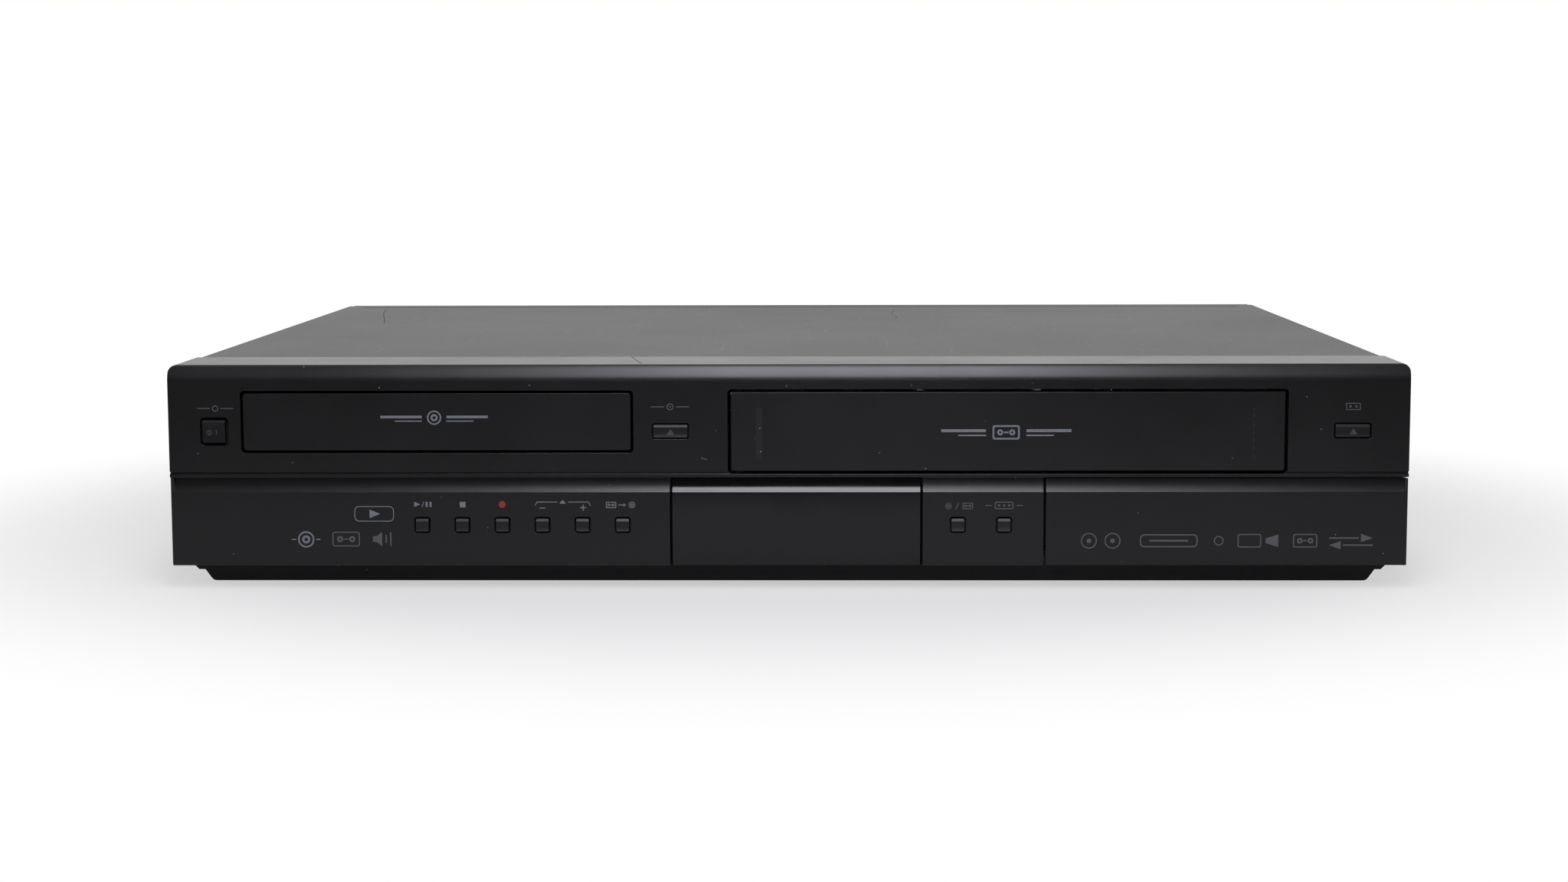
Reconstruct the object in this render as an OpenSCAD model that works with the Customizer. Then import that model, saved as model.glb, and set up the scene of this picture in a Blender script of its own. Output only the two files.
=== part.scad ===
// Slim disc and tape recorder: a disc drive and a cassette deck side by side
// in one steel case with a moulded front.
// X runs to the right, Y to the back and Z up. The origin is at the middle of
// the footprint, on the surface that the feet stand on.

/* [Case] */
// Width of the moulded front
case_w = 430; // [400:1:520]
// Height from the table to the flat top of the front
case_h = 78.5; // [77:0.5:96]
// Depth from the front face to the ends of the aerial sockets
case_d = 354; // [348:1:430]
// How far the aerial sockets stand out of the rear panel
socket_out = 8; // [6:0.5:10]
// Thickness of the folded sheet of the top cover
cover_t = 0.9; // [0.7:0.1:1.2]
// Thickness of the sheet of the bottom pan and the rear panel
sheet_t = 1; // [0.8:0.1:1.2]
// How far the cover stands in from the ends of the front
cover_inset = 1.2; // [1:0.1:2]
// Depth of the step pressed into the rear edge of the cover
joggle_step = 0.6; // [0.3:0.1:0.7]
// Length of the stepped rear edge of the cover
joggle_d = 15; // [8:1:20]

/* [Front] */
// Wall of the moulded front
wall = 2.4; // [2:0.1:2.8]
// Depth of the flat band along the top
band_d = 36; // [30:1:44]
// Height of the lower edge of the front
front_z = 8.2; // [7.5:0.1:9]
// Radius of the rolled top edge
roll_r = 6.5; // [6:0.1:8]
// Height of the rolled top edge
roll_h = 5.6; // [4:0.1:6]
// Height of the sharp edge where the cove meets the lower face
cove_z = 34.1; // [33:0.1:35]
// Height of the hollow cove
cove_h = 4.9; // [4:0.1:5.2]
// Radius of its curved face
cove_r = 8.2; // [7:0.1:10]
// Height of the thin strip between the cove and the upper face
strip_h = 1.2; // [0.9:0.1:1.5]
// Width of the groove above that strip
groove_h = 0.8; // [0.5:0.1:1]
// How far the lower face stands back from the upper one
lower_y = 1; // [0.6:0.1:1.4]
// Bevel along the bottom edge of the lower face
lower_bevel = 0.6; // [0.3:0.1:1]

/* [Disc tray front] */
// Middle of the tray front, from the left end of the case
tray_from_left = 93.55; // [92:0.05:100]
// Width of the tray front
tray_front_w = 134.7; // [130:0.1:138]
// Height of the tray front
tray_front_h = 19.8; // [18:0.1:20.4]
// Height of its middle above the table
tray_front_z = 58.85; // [58:0.05:59.4]
// Gap round the tray front
tray_gap = 1; // [0.6:0.1:1.4]

/* [Cassette flap] */
// Middle of the flap, from the right end of the case
flap_from_right = 138.6; // [136:0.1:145]
// Width of the flap, which lets a 187 mm cassette through
flap_w = 191.2; // [190:0.1:194]
// Height of the flap
flap_h = 27.2; // [26.6:0.1:27.4]
// Gap round the flap
flap_gap = 1.2; // [0.8:0.1:1.3]

/* [Lower front] */
// Middle of the display lens, from the middle of the case
lens_x = 3.3; // [0:0.1:8]
// Width of the display lens
lens_w = 87.2; // [80:0.1:88]
// Left end of the input door, from the right end of the case
door_from_right = 125; // [118:0.5:126]
// Seam round the lens and the door
seam = 0.8; // [0.5:0.1:1]

/* [Keys] */
// Width and height of the power button
power_size = 7.8; // [7:0.1:8.2]
// Width of the open and eject buttons
wide_key_w = 11.8; // [11:0.1:12.4]
// Height of the open and eject buttons
wide_key_h = 4.4; // [4:0.1:5]
// Width and height of the small keys
small_key = 4.4; // [4:0.1:5]
// Gap round the power button
power_gap = 1.1; // [0.6:0.1:1.2]
// Gap round every other key
key_gap = 0.6; // [0.5:0.05:0.8]
// Height of the bevel along the top of every key
key_bevel = 0.9; // [0.6:0.1:1.1]
// Pitch of the row of six small keys
key_pitch = 14; // [12:0.5:15]
// Pitch of the pair of small keys
pair_pitch = 16; // [14:0.5:18]
// Travel of a key
key_travel = 0.6; // [0.4:0.1:0.8]

/* [Disc drive] */
// Width of the drive
drive_w = 146; // [142:1:150]
// Depth of the drive
drive_d = 186; // [180:1:196]
// Height of the drive
drive_h = 41.3; // [41:0.1:42]
// Height of the underside of the drive
drive_z = 31; // [30.5:0.1:31.5]
// Radius of the disc
disc_r = 60; // [58:0.5:60]
// Tooth size (module) of the rack and its pinion
rack_m = 1; // [1:0.1:1.1]
// Teeth of the pinion
pinion_n = 20; // [18:1:20]
// Tooth size (module) of the step-down gears
train_m = 0.8; // [0.7:0.1:0.8]
// Teeth of the wheel under the pinion
wheel_n = 50; // [46:1:50]
// Teeth of the gear on the pulley
pulley_n = 15; // [14:1:16]
// Radius of the large pulley
pulley_r = 12; // [10:0.5:12]
// Radius of the motor pulley
motor_pulley_r = 3; // [2.5:0.5:4]

/* [Tape deck] */
// Width of the cassette
tape_w = 187; // [187:0.5:188]
// Depth of the cassette
tape_d = 102; // [100:1:103]
// Thickness of the cassette
tape_h = 25; // [25:0.1:25.4]
// Radius of the head drum
drum_r = 31; // [28:0.5:31]
// Tilt of the head drum
drum_tilt = 6; // [4:0.5:7]
// Distance between the two reel tables
reel_pitch = 92; // [88:1:96]
// Radius of the capstan shaft
capstan_r = 1.5; // [1.3:0.1:2]

/* [Rubber feet] */
// Radius of a foot
foot_r = 9; // [7:0.5:11]
// Height of a foot below the pan
foot_h = 1.2; // [1:0.1:2]

/* [Cooling fan] */
// Outer size of the fan frame
fan_size = 40; // [38:1:42]
// Depth of the fan frame
fan_d = 10; // [10:1:12]
// Number of fan blades
fan_blades = 7; // [5:1:9]

/* [Hidden] */
$fn = 48;
eps = 0.01;
fit_gap = 0.3;
run_gap = 0.05;

// Case
front_left = -case_w / 2;
front_right = case_w / 2;
cover_x = case_w / 2 - cover_inset;
cover_top = case_h - fit_gap;
pan_x = cover_x - cover_t - fit_gap;
panel_y = case_d - socket_out;
cover_end = panel_y + 2;
plinth_y = 12;
plinth_x = case_w / 2 - 6.5;
plinth_draft = 4;
plinth_flare = 3;
floor_z = foot_h + sheet_t;

// Moulded front
roll_z = case_h - roll_h;
cove_top = cove_z + cove_h;
strip_z = cove_top + 0.4;
groove_z = strip_z + strip_h;
cove_back = lower_y + cove_r * (1 - cos(asin(cove_h / cove_r)));
cove_axis_y = cove_back - cove_r;
skin_y = cove_back + wall + 0.3;
cheek_t = 1.2;
corner_r = 2.5;

// Openings of the front
tray_x = front_left + tray_from_left;
flap_x = front_right - flap_from_right;
flap_low = groove_z + flap_gap - 0.1;
flap_high = flap_low + flap_h;
door_x = front_right - door_from_right;
door_end = front_right;
panel_low = front_z + 0.2;
panel_high = cove_top - 0.2;

// Keys
power_x = front_left + 15.7;
open_x = tray_x + 81.2;
eject_x = front_right - 19.6;
// The power button stands nearer to the left side of its opening
power_shift = power_gap - 0.75;
upper_key_z = tray_front_z - 3.3;
lower_key_z = cove_z - 11.5;
row_x = tray_x - 5.7;
pair_x = lens_x + lens_w / 2 + 12.6;
flange = 1.7;
flange_t = 1;
board_y = 20;
board_t = 1.6;
switch_h = 3.5;
stem_end = board_y - switch_h - key_travel - 0.1;

// Hinges of the front
flap_pin_r = 1.2;
flap_pin_len = 2.6;
flap_t = 2.2;
flap_axis_y = 1.9;
flap_axis_z = flap_high - 0.7;
door_pin_r = 1.4;
door_axis_y = lower_y + 5.6;
door_axis_z = front_z + 3;
ear_t = 2.4;
ear_r = 2.7;
ear_x = [door_x + 3.2, front_right - 6];
niche_front = door_axis_y + ear_r + 0.5;
niche_back = 16;
niche_floor = 12;
jack_z = 25;
jack_r = 4.2;
jack_x = [for (i = [0:2]) door_x + 34 + 15 * i];
usb_x = door_x + 92;
collar_t = 1.6;
collar_back = 13.7;

module from_front() { translate([0, -case_d / 2, 0]) children(); }

module box(x0, x1, y0, y1, z0, z1) {
    translate([x0, y0, z0]) cube([x1 - x0, y1 - y0, z1 - z0]);
}

// Carries an outline drawn in Y and Z from x0 to x1
module along_x(x0, x1) {
    translate([x0, 0, 0]) rotate([90, 0, 90]) linear_extrude(x1 - x0) children();
}

// Carries an outline drawn in X and Z from y0 to y1
module along_y(y0, y1) {
    translate([0, y1, 0]) rotate([90, 0, 0]) linear_extrude(y1 - y0) children();
}

// Rectangle about its middle with four round corners
module rounded(w, h, r) {
    square([w - 2 * r, h], center = true);
    square([w, h - 2 * r], center = true);
    for (x = [-1, 1], z = [-1, 1]) {
        translate([x * (w / 2 - r), z * (h / 2 - r)]) circle(r);
    }
}

module pin_x(x0, x1, y, z, r) {
    translate([x0, y, z]) rotate([0, 90, 0]) cylinder(r = r, h = x1 - x0);
}

module pin_y(x, y0, y1, z, r) {
    translate([x, y0, z]) rotate([-90, 0, 0]) cylinder(r = r, h = y1 - y0);
}

// ---- Moulded front ----

module upper_outline() {
    roll_run = roll_r - sqrt(roll_r * roll_r - roll_h * roll_h);
    difference() {
        translate([0, strip_z]) square([band_d, case_h - strip_z]);
        difference() {
            translate([-eps, roll_z]) square([roll_run, roll_h + eps]);
            translate([roll_r, roll_z]) circle(roll_r);
        }
        translate([-eps, groove_z]) square([0.9, groove_h]);
    }
}

// The hollow that is cut out over the lower face
module cove_outline() {
    intersection() {
        translate([cove_axis_y, cove_top]) circle(cove_r);
        translate([0, cove_z - eps]) square([band_d, cove_h + eps]);
    }
    translate([0, cove_top - eps]) square([cove_back, strip_z - cove_top + eps]);
}

module lower_outline(top = strip_z, back = band_d) {
    difference() {
        translate([lower_y, front_z]) square([back - lower_y, top - front_z]);
        polygon([[0, front_z - lower_bevel], [0, front_z + lower_bevel + lower_y],
                 [lower_y + lower_bevel + eps, front_z - eps], [lower_y, front_z - lower_bevel]]);
        cove_outline();
    }
}

module cavity_outline() {
    difference() {
        translate([wall, front_z + wall]) square([band_d, case_h - front_z - 2 * wall]);
        translate([0, front_z]) square([lower_y + wall, cove_z - front_z]);
        intersection() {
            translate([cove_axis_y, cove_top]) circle(cove_r + wall);
            square([band_d, strip_z + wall]);
        }
        translate([0, strip_z - 1]) square([cove_back + wall, wall + 1]);
    }
    translate([plinth_y - fit_gap, front_z - 1]) square([band_d, 2 * wall]);
}

// A panel that follows the cove and the lower face, with its own wall
module coved_outline(t) {
    difference() {
        lower_outline(panel_high);
        translate([0, -seam / 4]) difference() {
            translate([lower_y + t, 0]) square([band_d, case_h]);
            translate([cove_axis_y, cove_top]) circle(cove_r + t);
        }
        translate([0, front_z - eps]) square([band_d, panel_low - front_z]);
        translate([cove_back + t, 0]) square([band_d, case_h]);
    }
}

// Closes an end of the cove, so that the side of the front is flat
module cove_cheek(x, top) {
    box(x, x + cheek_t, lower_y, cove_back + wall / 2, cove_z - 1, top);
}

module front_view() {
    translate([front_left, front_z - 1]) square([case_w, case_h - corner_r - front_z + 1]);
    translate([front_left + corner_r, front_z]) square([case_w - 2 * corner_r, case_h - front_z]);
    for (side = [-1, 1]) {
        translate([side * (case_w / 2 - corner_r), case_h - corner_r]) circle(corner_r);
    }
}

module key_hole(x, z, w, h, gap = key_gap) {
    along_y(-1, skin_y) translate([x, z]) rounded(w + 2 * gap, h + 2 * gap, gap + 0.4);
}

module all_key_holes() {
    key_hole(power_x + power_shift, upper_key_z, power_size, power_size, power_gap);
    for (x = [open_x, eject_x]) key_hole(x, upper_key_z, wide_key_w, wide_key_h);
    for (x = small_key_x) key_hole(x, lower_key_z, small_key, small_key);
}

module opening_collar(x, z, w, h, back) {
    along_y(wall - 1, back) translate([x, z]) difference() {
        rounded(w + 2 * collar_t, h + 2 * collar_t, 2);
        rounded(w, h, 1.4);
    }
}

module board_boss(x, z) { pin_y(x, wall - 0.5, board_y, z, 2.4); }

module front_fascia() {
    tray_open = [tray_front_w + 2 * tray_gap, tray_front_h + 2 * tray_gap];
    flap_open = [flap_w + 2 * flap_gap, flap_h + 2 * flap_gap];
    flap_mid = (flap_low + flap_high) / 2;
    lens_cut = lens_w / 2 + seam / 2;
    color([0.13, 0.13, 0.14]) from_front() {
        difference() {
            union() {
                intersection() {
                    union() {
                        along_x(front_left, front_right) difference() {
                            union() {
                                upper_outline();
                                lower_outline();
                            }
                            cavity_outline();
                        }
                        for (x = [front_left, front_right - wall]) along_x(x, x + wall) {
                            upper_outline();
                            lower_outline();
                        }
                        cove_cheek(front_left, strip_z + eps);
                    }
                    along_y(-1, band_d + 1) front_view();
                }
                opening_collar(tray_x, tray_front_z, tray_open[0], tray_open[1], collar_back);
                opening_collar(flap_x, flap_mid, flap_open[0], flap_open[1], collar_back);
                for (side = [-1, 1]) {
                    bearing_x = flap_x + side * (flap_open[0] / 2 + 2);
                    box(bearing_x - 2, bearing_x + 2, 1, 7, flap_axis_z - 4, flap_axis_z + 2.6);
                }
                for (x = boss_x) board_boss(x, lower_key_z - 7);
                for (x = small_board_x) for (z = [-1, 1]) board_boss(x, upper_key_z + 8.4 * z);
                // Tongues that hold the front edge of the top cover down
                for (i = [0:5]) {
                    x = (i - 2.5) * case_w / 6.5;
                    box(x - 5, x + 5, band_d - 2, band_d + 6, case_h - wall - 1.2, case_h - wall + 0.2);
                    box(x - 0.8, x + 0.8, band_d - 8, band_d + 4, case_h - wall - 3.2, case_h - wall + 0.2);
                }
                // Walls of the niche behind the input door
                box(door_x - seam - wall, front_right - 0.5, niche_front, niche_back + 2,
                    niche_floor - 2, strip_z + wall);
            }
            along_y(-1, band_d) translate([tray_x, tray_front_z]) rounded(tray_open[0], tray_open[1], 1.4);
            along_y(-1, band_d) translate([flap_x, flap_mid]) rounded(flap_open[0], flap_open[1], 1.4);
            pin_x(flap_x - flap_open[0] / 2 - flap_pin_len, flap_x + flap_open[0] / 2 + flap_pin_len,
                  flap_axis_y, flap_axis_z, flap_pin_r + run_gap);
            all_key_holes();
            box(lens_x - lens_cut, lens_x + lens_cut, -1, skin_y, front_z - 1, strip_z);
            box(door_x - seam, front_right + 1, -1, niche_front, front_z - 1, strip_z);
            box(door_x - seam, front_right - wall, niche_front - 1, niche_back, niche_floor, strip_z);
            box(door_x - seam, front_right + 1, -1, skin_y, front_z - 1, niche_floor);
            for (x = jack_x) pin_y(x, niche_back - 1, niche_back + 3, jack_z, jack_r + fit_gap);
            box(usb_x - 7, usb_x + 7, niche_back - 1, niche_back + 3, jack_z - 3.2, jack_z + 3.2);
        }
        // Rebate that the lens is bonded to
        difference() {
            box(lens_x - lens_cut - 2, lens_x + lens_cut + 2, skin_y, skin_y + wall - 0.6,
                front_z + 0.3, strip_z + 1);
            box(lens_x - lens_cut + 3, lens_x + lens_cut - 3, skin_y - 1, skin_y + wall,
                front_z + 3, cove_z - 2);
        }
        for (x = [lens_x - lens_cut - 2, lens_x + lens_cut]) {
            box(x, x + 2, lower_y + 0.5, skin_y + wall - 0.6, front_z + 0.3, cove_z);
        }
        // Ears that carry the pins of the input door
        difference() {
            for (x = ear_x) {
                pin_x(x, x + ear_t, door_axis_y, door_axis_z, ear_r);
                box(x, x + ear_t, door_axis_y, niche_back + 1, door_axis_z - 1, door_axis_z + ear_r);
            }
            pin_x(ear_x[0] - 1, ear_x[1] + ear_t + 1, door_axis_y, door_axis_z, door_pin_r + run_gap);
        }
    }
}

module display_lens() {
    color([0.05, 0.05, 0.06]) from_front() along_x(lens_x - lens_w / 2, lens_x + lens_w / 2)
        coved_outline(wall - 0.2);
}

module input_door() {
    lug_x = [ear_x[0] + ear_t + fit_gap, ear_x[1] - fit_gap - ear_t];
    color([0.13, 0.13, 0.14]) from_front() {
        along_x(door_x, door_end) coved_outline(wall - 0.2);
        cove_cheek(door_end - cheek_t, panel_high);
        for (x = lug_x) {
            pin_x(x, x + ear_t, door_axis_y, door_axis_z, ear_r - 0.2);
            box(x, x + ear_t, lower_y + 1, door_axis_y, door_axis_z - 1.2, door_axis_z + 5);
        }
        pin_x(ear_x[0] + 0.2, lug_x[0] + 1, door_axis_y, door_axis_z, door_pin_r);
        pin_x(lug_x[1] + ear_t - 1, ear_x[1] + ear_t - 0.2, door_axis_y, door_axis_z, door_pin_r);
        for (x = [door_x + 1.5, door_end - 3]) {
            box(x, x + 1.5, lower_y + 1, cove_back + wall, door_axis_z + 6, cove_z - 1);
        }
    }
}

module cassette_flap() {
    half = flap_w / 2;
    color([0.12, 0.12, 0.12]) from_front() {
        along_y(0.15, 0.15 + flap_t) translate([flap_x, (flap_low + flap_high) / 2])
            rounded(flap_w, flap_h, 1);
        pin_x(flap_x - half - flap_gap - flap_pin_len + 0.3, flap_x + half + flap_gap + flap_pin_len - 0.3,
              flap_axis_y, flap_axis_z, flap_pin_r);
        for (x = [-0.7, -0.25, 0.25, 0.7]) {
            box(flap_x + x * half - 0.6, flap_x + x * half + 0.6, flap_t - 0.5, flap_t + 0.9,
                flap_low + 2, flap_high - 5);
        }
        box(flap_x - half + 3, flap_x + half - 3, flap_t - 0.5, flap_t + 1.2,
            flap_low + 1.2, flap_low + 2.4);
    }
}

// ---- Keys ----

row_keys_x = [for (i = [0:5]) row_x + key_pitch * i];
small_key_x = concat(row_keys_x, [pair_x, pair_x + pair_pitch]);
boss_x = [row_x - 8, row_x + key_pitch * 5 + 8, pair_x - 7.5, pair_x + pair_pitch + 6];
small_board_x = [power_x - 4, open_x, eject_x];
small_board_half = [8.2, 6, 6];

// Cap with a bevel over a dished face, a flange that holds it in, and the stem to its switch
module key(x, z, w, h, face_y) {
    ridge_z = z + h / 2 - key_bevel;
    dish_half = (h - key_bevel) / 2;
    dish_depth = 0.25;
    dish_r = (dish_half * dish_half / dish_depth + dish_depth) / 2;
    back_y = (z > strip_z ? 0 : lower_y) + wall + fit_gap;
    color([0.16, 0.16, 0.17]) from_front() {
        difference() {
            along_y(face_y, back_y + eps) translate([x, z]) rounded(w, h, 0.4);
            pin_x(x - w, x + w, face_y - dish_r + dish_depth, ridge_z - dish_half, dish_r);
            along_x(x - w, x + w) polygon([[face_y - 1, ridge_z], [face_y, ridge_z],
                [face_y + key_bevel, ridge_z + 2 * key_bevel], [face_y - 1, ridge_z + 2 * key_bevel]]);
        }
        along_y(back_y, back_y + flange_t) translate([x, z]) rounded(w + 2 * flange, h + 2 * flange, 0.6);
        box(x - 1, x + 1, back_y, stem_end, z - 1, z + 1);
    }
}

module small_key_at(i) { key(small_key_x[i], lower_key_z, small_key, small_key, max(0.1, lower_y - 0.8)); }
module power_button() { key(power_x, upper_key_z, power_size, power_size, 0.1); }
module open_button() { key(open_x, upper_key_z, wide_key_w, wide_key_h, 0.1); }
module eject_button() { key(eject_x, upper_key_z, wide_key_w, wide_key_h, 0.1); }
module play_button() { small_key_at(0); }
module stop_button() { small_key_at(1); }
module record_button() { small_key_at(2); }
module channel_down_button() { small_key_at(3); }
module channel_up_button() { small_key_at(4); }
module dubbing_button() { small_key_at(5); }
module source_button() { small_key_at(6); }
module output_button() { small_key_at(7); }

module tact_switch(x, z) {
    box(x - 3, x + 3, board_y - 2.4, board_y, z - 3, z + 3);
    pin_y(x, board_y - switch_h, board_y - 2, z, 1.7);
}

module key_board() {
    color([0.1, 0.3, 0.15]) from_front() {
        box(boss_x[0] - 4, boss_x[3] + 4, board_y, board_y + board_t, lower_key_z - 11, lower_key_z + 7);
        for (x = small_key_x) tact_switch(x, lower_key_z);
        for (i = [0:2]) {
            box(small_board_x[i] - small_board_half[i], small_board_x[i] + small_board_half[i],
                board_y, board_y + board_t, upper_key_z - 11, upper_key_z + 11);
        }
        for (x = [power_x, open_x, eject_x]) tact_switch(x, upper_key_z);
    }
}

module display_tube() {
    half = lens_w / 2 - 6;
    color([0.2, 0.25, 0.26]) from_front() {
        box(lens_x - half, lens_x + half, skin_y + wall + 1.5, board_y - 2.5, front_z + 5, cove_z - 3);
        for (x = [-0.8, 0.8]) {
            box(lens_x + x * half - 1.5, lens_x + x * half + 1.5, board_y - 3, board_y,
                front_z + 6, front_z + 12);
        }
    }
}

module front_jack_board() {
    back = niche_back + 2;
    color([0.15, 0.15, 0.15]) from_front() {
        box(door_x + 20, usb_x + 12, back + 8, back + 8 + board_t, jack_z - 10, jack_z + 10);
        for (x = jack_x) {
            box(x - 5.5, x + 5.5, back + fit_gap, back + 8, jack_z - 6, jack_z + 6);
            difference() {
                pin_y(x, niche_back - 6, back + 1, jack_z, jack_r);
                pin_y(x, niche_back - 7, back, jack_z, 1.6);
            }
        }
        difference() {
            box(usb_x - 6.6, usb_x + 6.6, niche_back - 0.5, back + 8, jack_z - 2.8, jack_z + 2.8);
            box(usb_x - 6.1, usb_x + 6.1, niche_back - 1, back + 7, jack_z - 2.3, jack_z + 2.3);
        }
        box(usb_x - 5.2, usb_x + 5.2, niche_back + 1, back + 7.5, jack_z + 0.2, jack_z + 1.9);
    }
}

// ---- Case ----

drive_x = tray_x;
drive_y = 14;
drive_top = drive_z + drive_h;
deck_x = flap_x;
deck_z = 24;
deck_t = 1.6;
deck_half = tape_w / 2 + 7;
deck_y = 60;
deck_end = 250;
drive_post = [for (x = [-1, 1], y = [22, drive_d - 26]) [drive_x + x * 62, drive_y + y]];
deck_post = [for (x = [-1, 1], y = [deck_y + 8, deck_end - 8]) [deck_x + x * (deck_half - 6), y]];
board_z = 20;
main_x = [front_left + 12, flap_x - deck_half - 6];
main_y = [panel_y - 125, panel_y - 16];
power_x_range = [flap_x - deck_half + 14, front_right - 10];
power_y = [panel_y - 80, panel_y - 14];
fan_x = main_x[1] - 24;
fan_z = 50;
tuner_x = front_left + 42;
rca_x = [for (i = [0:4]) tuner_x + 34 + 13 * i];
rca_z = [27, 41];
hdmi_x = fan_x - 8;
hdmi_z = board_z + 1.6 + 3.5;
inlet_x = front_right - 32;
inlet_z = 30;
inlet_w = 20;
inlet_h = 12;
aerial_x = [tuner_x - 10, tuner_x + 10];
aerial_z = 45;
aerial_r = 4.75;

// Section of the plinth: sloping sides that flare out at the top, and rounded lower edges
module pan_outline(inset) {
    bend_r = 2.2 - inset;
    top_half = plinth_x - inset;
    flare_low = front_z - plinth_flare;
    polygon([[-top_half - plinth_flare, front_z], [-top_half, flare_low], [top_half, flare_low],
             [top_half + plinth_flare, front_z]]);
    hull() {
        translate([-top_half, front_z - eps]) square([2 * top_half, eps]);
        for (side = [-1, 1]) {
            translate([side * (top_half - plinth_draft - bend_r), foot_h + inset + bend_r])
                circle(bend_r, $fn = 32);
        }
    }
}

module board_post(x, y) {
    translate([x, y, floor_z - 0.5]) cylinder(r = 3, h = board_z - floor_z + 0.5);
}

// Pressed steel pan: a raised rim, a deep drafted plinth and the posts for what stands in it
module bottom_chassis() {
    back = panel_y - 6;
    color([0.1, 0.1, 0.1]) from_front() difference() {
        union() {
            difference() {
                union() {
                    box(-pan_x, pan_x, plinth_y, panel_y - fit_gap, front_z, front_z + sheet_t);
                    along_y(plinth_y, back) pan_outline(0);
                }
                along_y(plinth_y + sheet_t, back - sheet_t) pan_outline(sheet_t);
                box(-plinth_x + sheet_t, plinth_x - sheet_t, plinth_y + sheet_t, back - sheet_t,
                    front_z - eps, front_z + 2 * sheet_t);
            }
            for (side = [-1, 1]) {
                box(side * pan_x - (side + 1) / 2 * sheet_t, side * pan_x + (1 - side) / 2 * sheet_t,
                    band_d + 1, panel_y - sheet_t - fit_gap, front_z, front_z + 12);
            }
            for (p = drive_post) translate([p[0], p[1], floor_z - 0.5])
                cylinder(r = 4, h = drive_z - floor_z + 0.5);
            for (p = deck_post) translate([p[0], p[1], floor_z - 0.5])
                cylinder(r = 4, h = deck_z - floor_z + 0.5);
            for (i = [0, 1], j = [0, 1]) board_post(main_x[i] + 8 - 16 * i, main_y[j] + 8 - 16 * j);
            for (i = [0, 1], j = [0, 1]) board_post(power_x_range[i] + 8 - 16 * i, power_y[j] + 8 - 16 * j);
        }
        for (s = side_screw_at) pin_x(s[0] - 4, s[0] + 4, s[1], s[2], shank_r + 0.1);
        // Rows of air slots under the boards and the deck
        for (row = [[drive_x - 40, 11], [deck_x - 10, 11]], i = [0:row[1]]) {
            translate([row[0] + 7 * i, panel_y - 60, 0]) {
                translate([0, -12, 0]) cylinder(r = 1.5, h = 6);
                translate([0, 12, 0]) cylinder(r = 1.5, h = 6);
                translate([-1.5, -12, 0]) cube([3, 24, 6]);
            }
        }
    }
}

module rubber_feet() {
    foot_x = plinth_x - plinth_draft - foot_r - 8;
    color([0.06, 0.06, 0.06]) from_front() {
        for (x = [-foot_x, foot_x], y = [plinth_y + 24, panel_y - 40]) translate([x, y, 0]) difference() {
            cylinder(r = foot_r, h = foot_h);
            translate([0, 0, -eps]) cylinder(r = 2.5, h = foot_h / 2);
        }
    }
}

module cover_section(drop) {
    bend_r = 2;
    for (side = [-1, 1]) {
        translate([side > 0 ? cover_x - cover_t : -cover_x, front_z + 0.6])
            square([cover_t, cover_top - bend_r - front_z - 0.6]);
        translate([side * (cover_x - bend_r), cover_top - bend_r]) intersection() {
            difference() {
                circle(bend_r);
                circle(bend_r - cover_t);
            }
            translate([side > 0 ? 0 : -bend_r, 0]) square([bend_r, bend_r]);
        }
    }
    translate([bend_r - cover_x, cover_top - cover_t]) square([2 * (cover_x - bend_r), cover_t]);
}

// Folded steel sheet over the top and both sides, stepped down along its rear edge
module top_cover() {
    step_y = cover_end - joggle_d;
    slot_n = 13;
    color([0.14, 0.14, 0.14]) from_front() difference() {
        union() {
            along_y(band_d + fit_gap, step_y + 1) cover_section();
            difference() {
                translate([0, 0, -joggle_step]) along_y(step_y, cover_end) cover_section();
                box(-case_w, case_w, 0, case_d, 0, front_z + 0.6);
            }
        }
        for (side = [-1, 1], group = [0.36, 0.66], i = [0:slot_n - 1]) {
            slot_y = case_d * group + 6 * (i - slot_n / 2);
            translate([side * (cover_x - cover_t / 2), slot_y, case_h * 0.48]) {
                box(-cover_t, cover_t, -1.25, 1.25, -7, 7);
                for (z = [-7, 7]) pin_x(-cover_t, cover_t, 0, z, 1.25);
            }
        }
        for (s = side_screw_at) pin_x(s[0] - 3, s[0] + 3, s[1], s[2], shank_r + fit_gap);
    }
}

side_screw_at = [for (side = [-1, 1], y = [74, panel_y - 70])
    [side * (cover_x - cover_t / 2), y, front_z + 6]];
// The middle pair stands between the fan and the air slots
rear_screw_x = [-0.44 * case_w, (fan_x + fan_size / 2 + inlet_x - 103) / 2, 0.44 * case_w];
rear_screw_z = [case_h - 8, front_z + 5];
shank_r = 1.4;
shank_len = 3.4;

// Screw with a domed head and a cross recess, its shank hanging below
module screw(r, h) {
    rim = h * 0.35;
    recess = min(0.7, h * 0.6);
    difference() {
        rotate_extrude() polygon(concat(
            [[0, -shank_len], [shank_r, -shank_len], [shank_r, 0], [r, 0]],
            [for (a = [0:22.5:67.5]) [r * cos(a), rim + (h - rim) * sin(a)]],
            [[0, h]]));
        for (turn = [0, 90]) {
            rotate([0, 0, turn]) translate([-r * 0.6, -0.4, h - recess]) cube([r * 1.2, 0.8, 2]);
        }
    }
}

module case_screws() {
    color([0.09, 0.09, 0.09]) from_front() {
        for (s = side_screw_at) {
            side = s[0] > 0 ? 1 : -1;
            translate([side * (cover_x + eps), s[1], s[2]]) rotate([0, side * 90, 0]) screw(3.2, 1.1);
        }
        for (x = rear_screw_x, z = rear_screw_z) {
            translate([x, panel_y + eps, z]) rotate([-90, 0, 0]) screw(3, 1.8);
        }
    }
}

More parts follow.
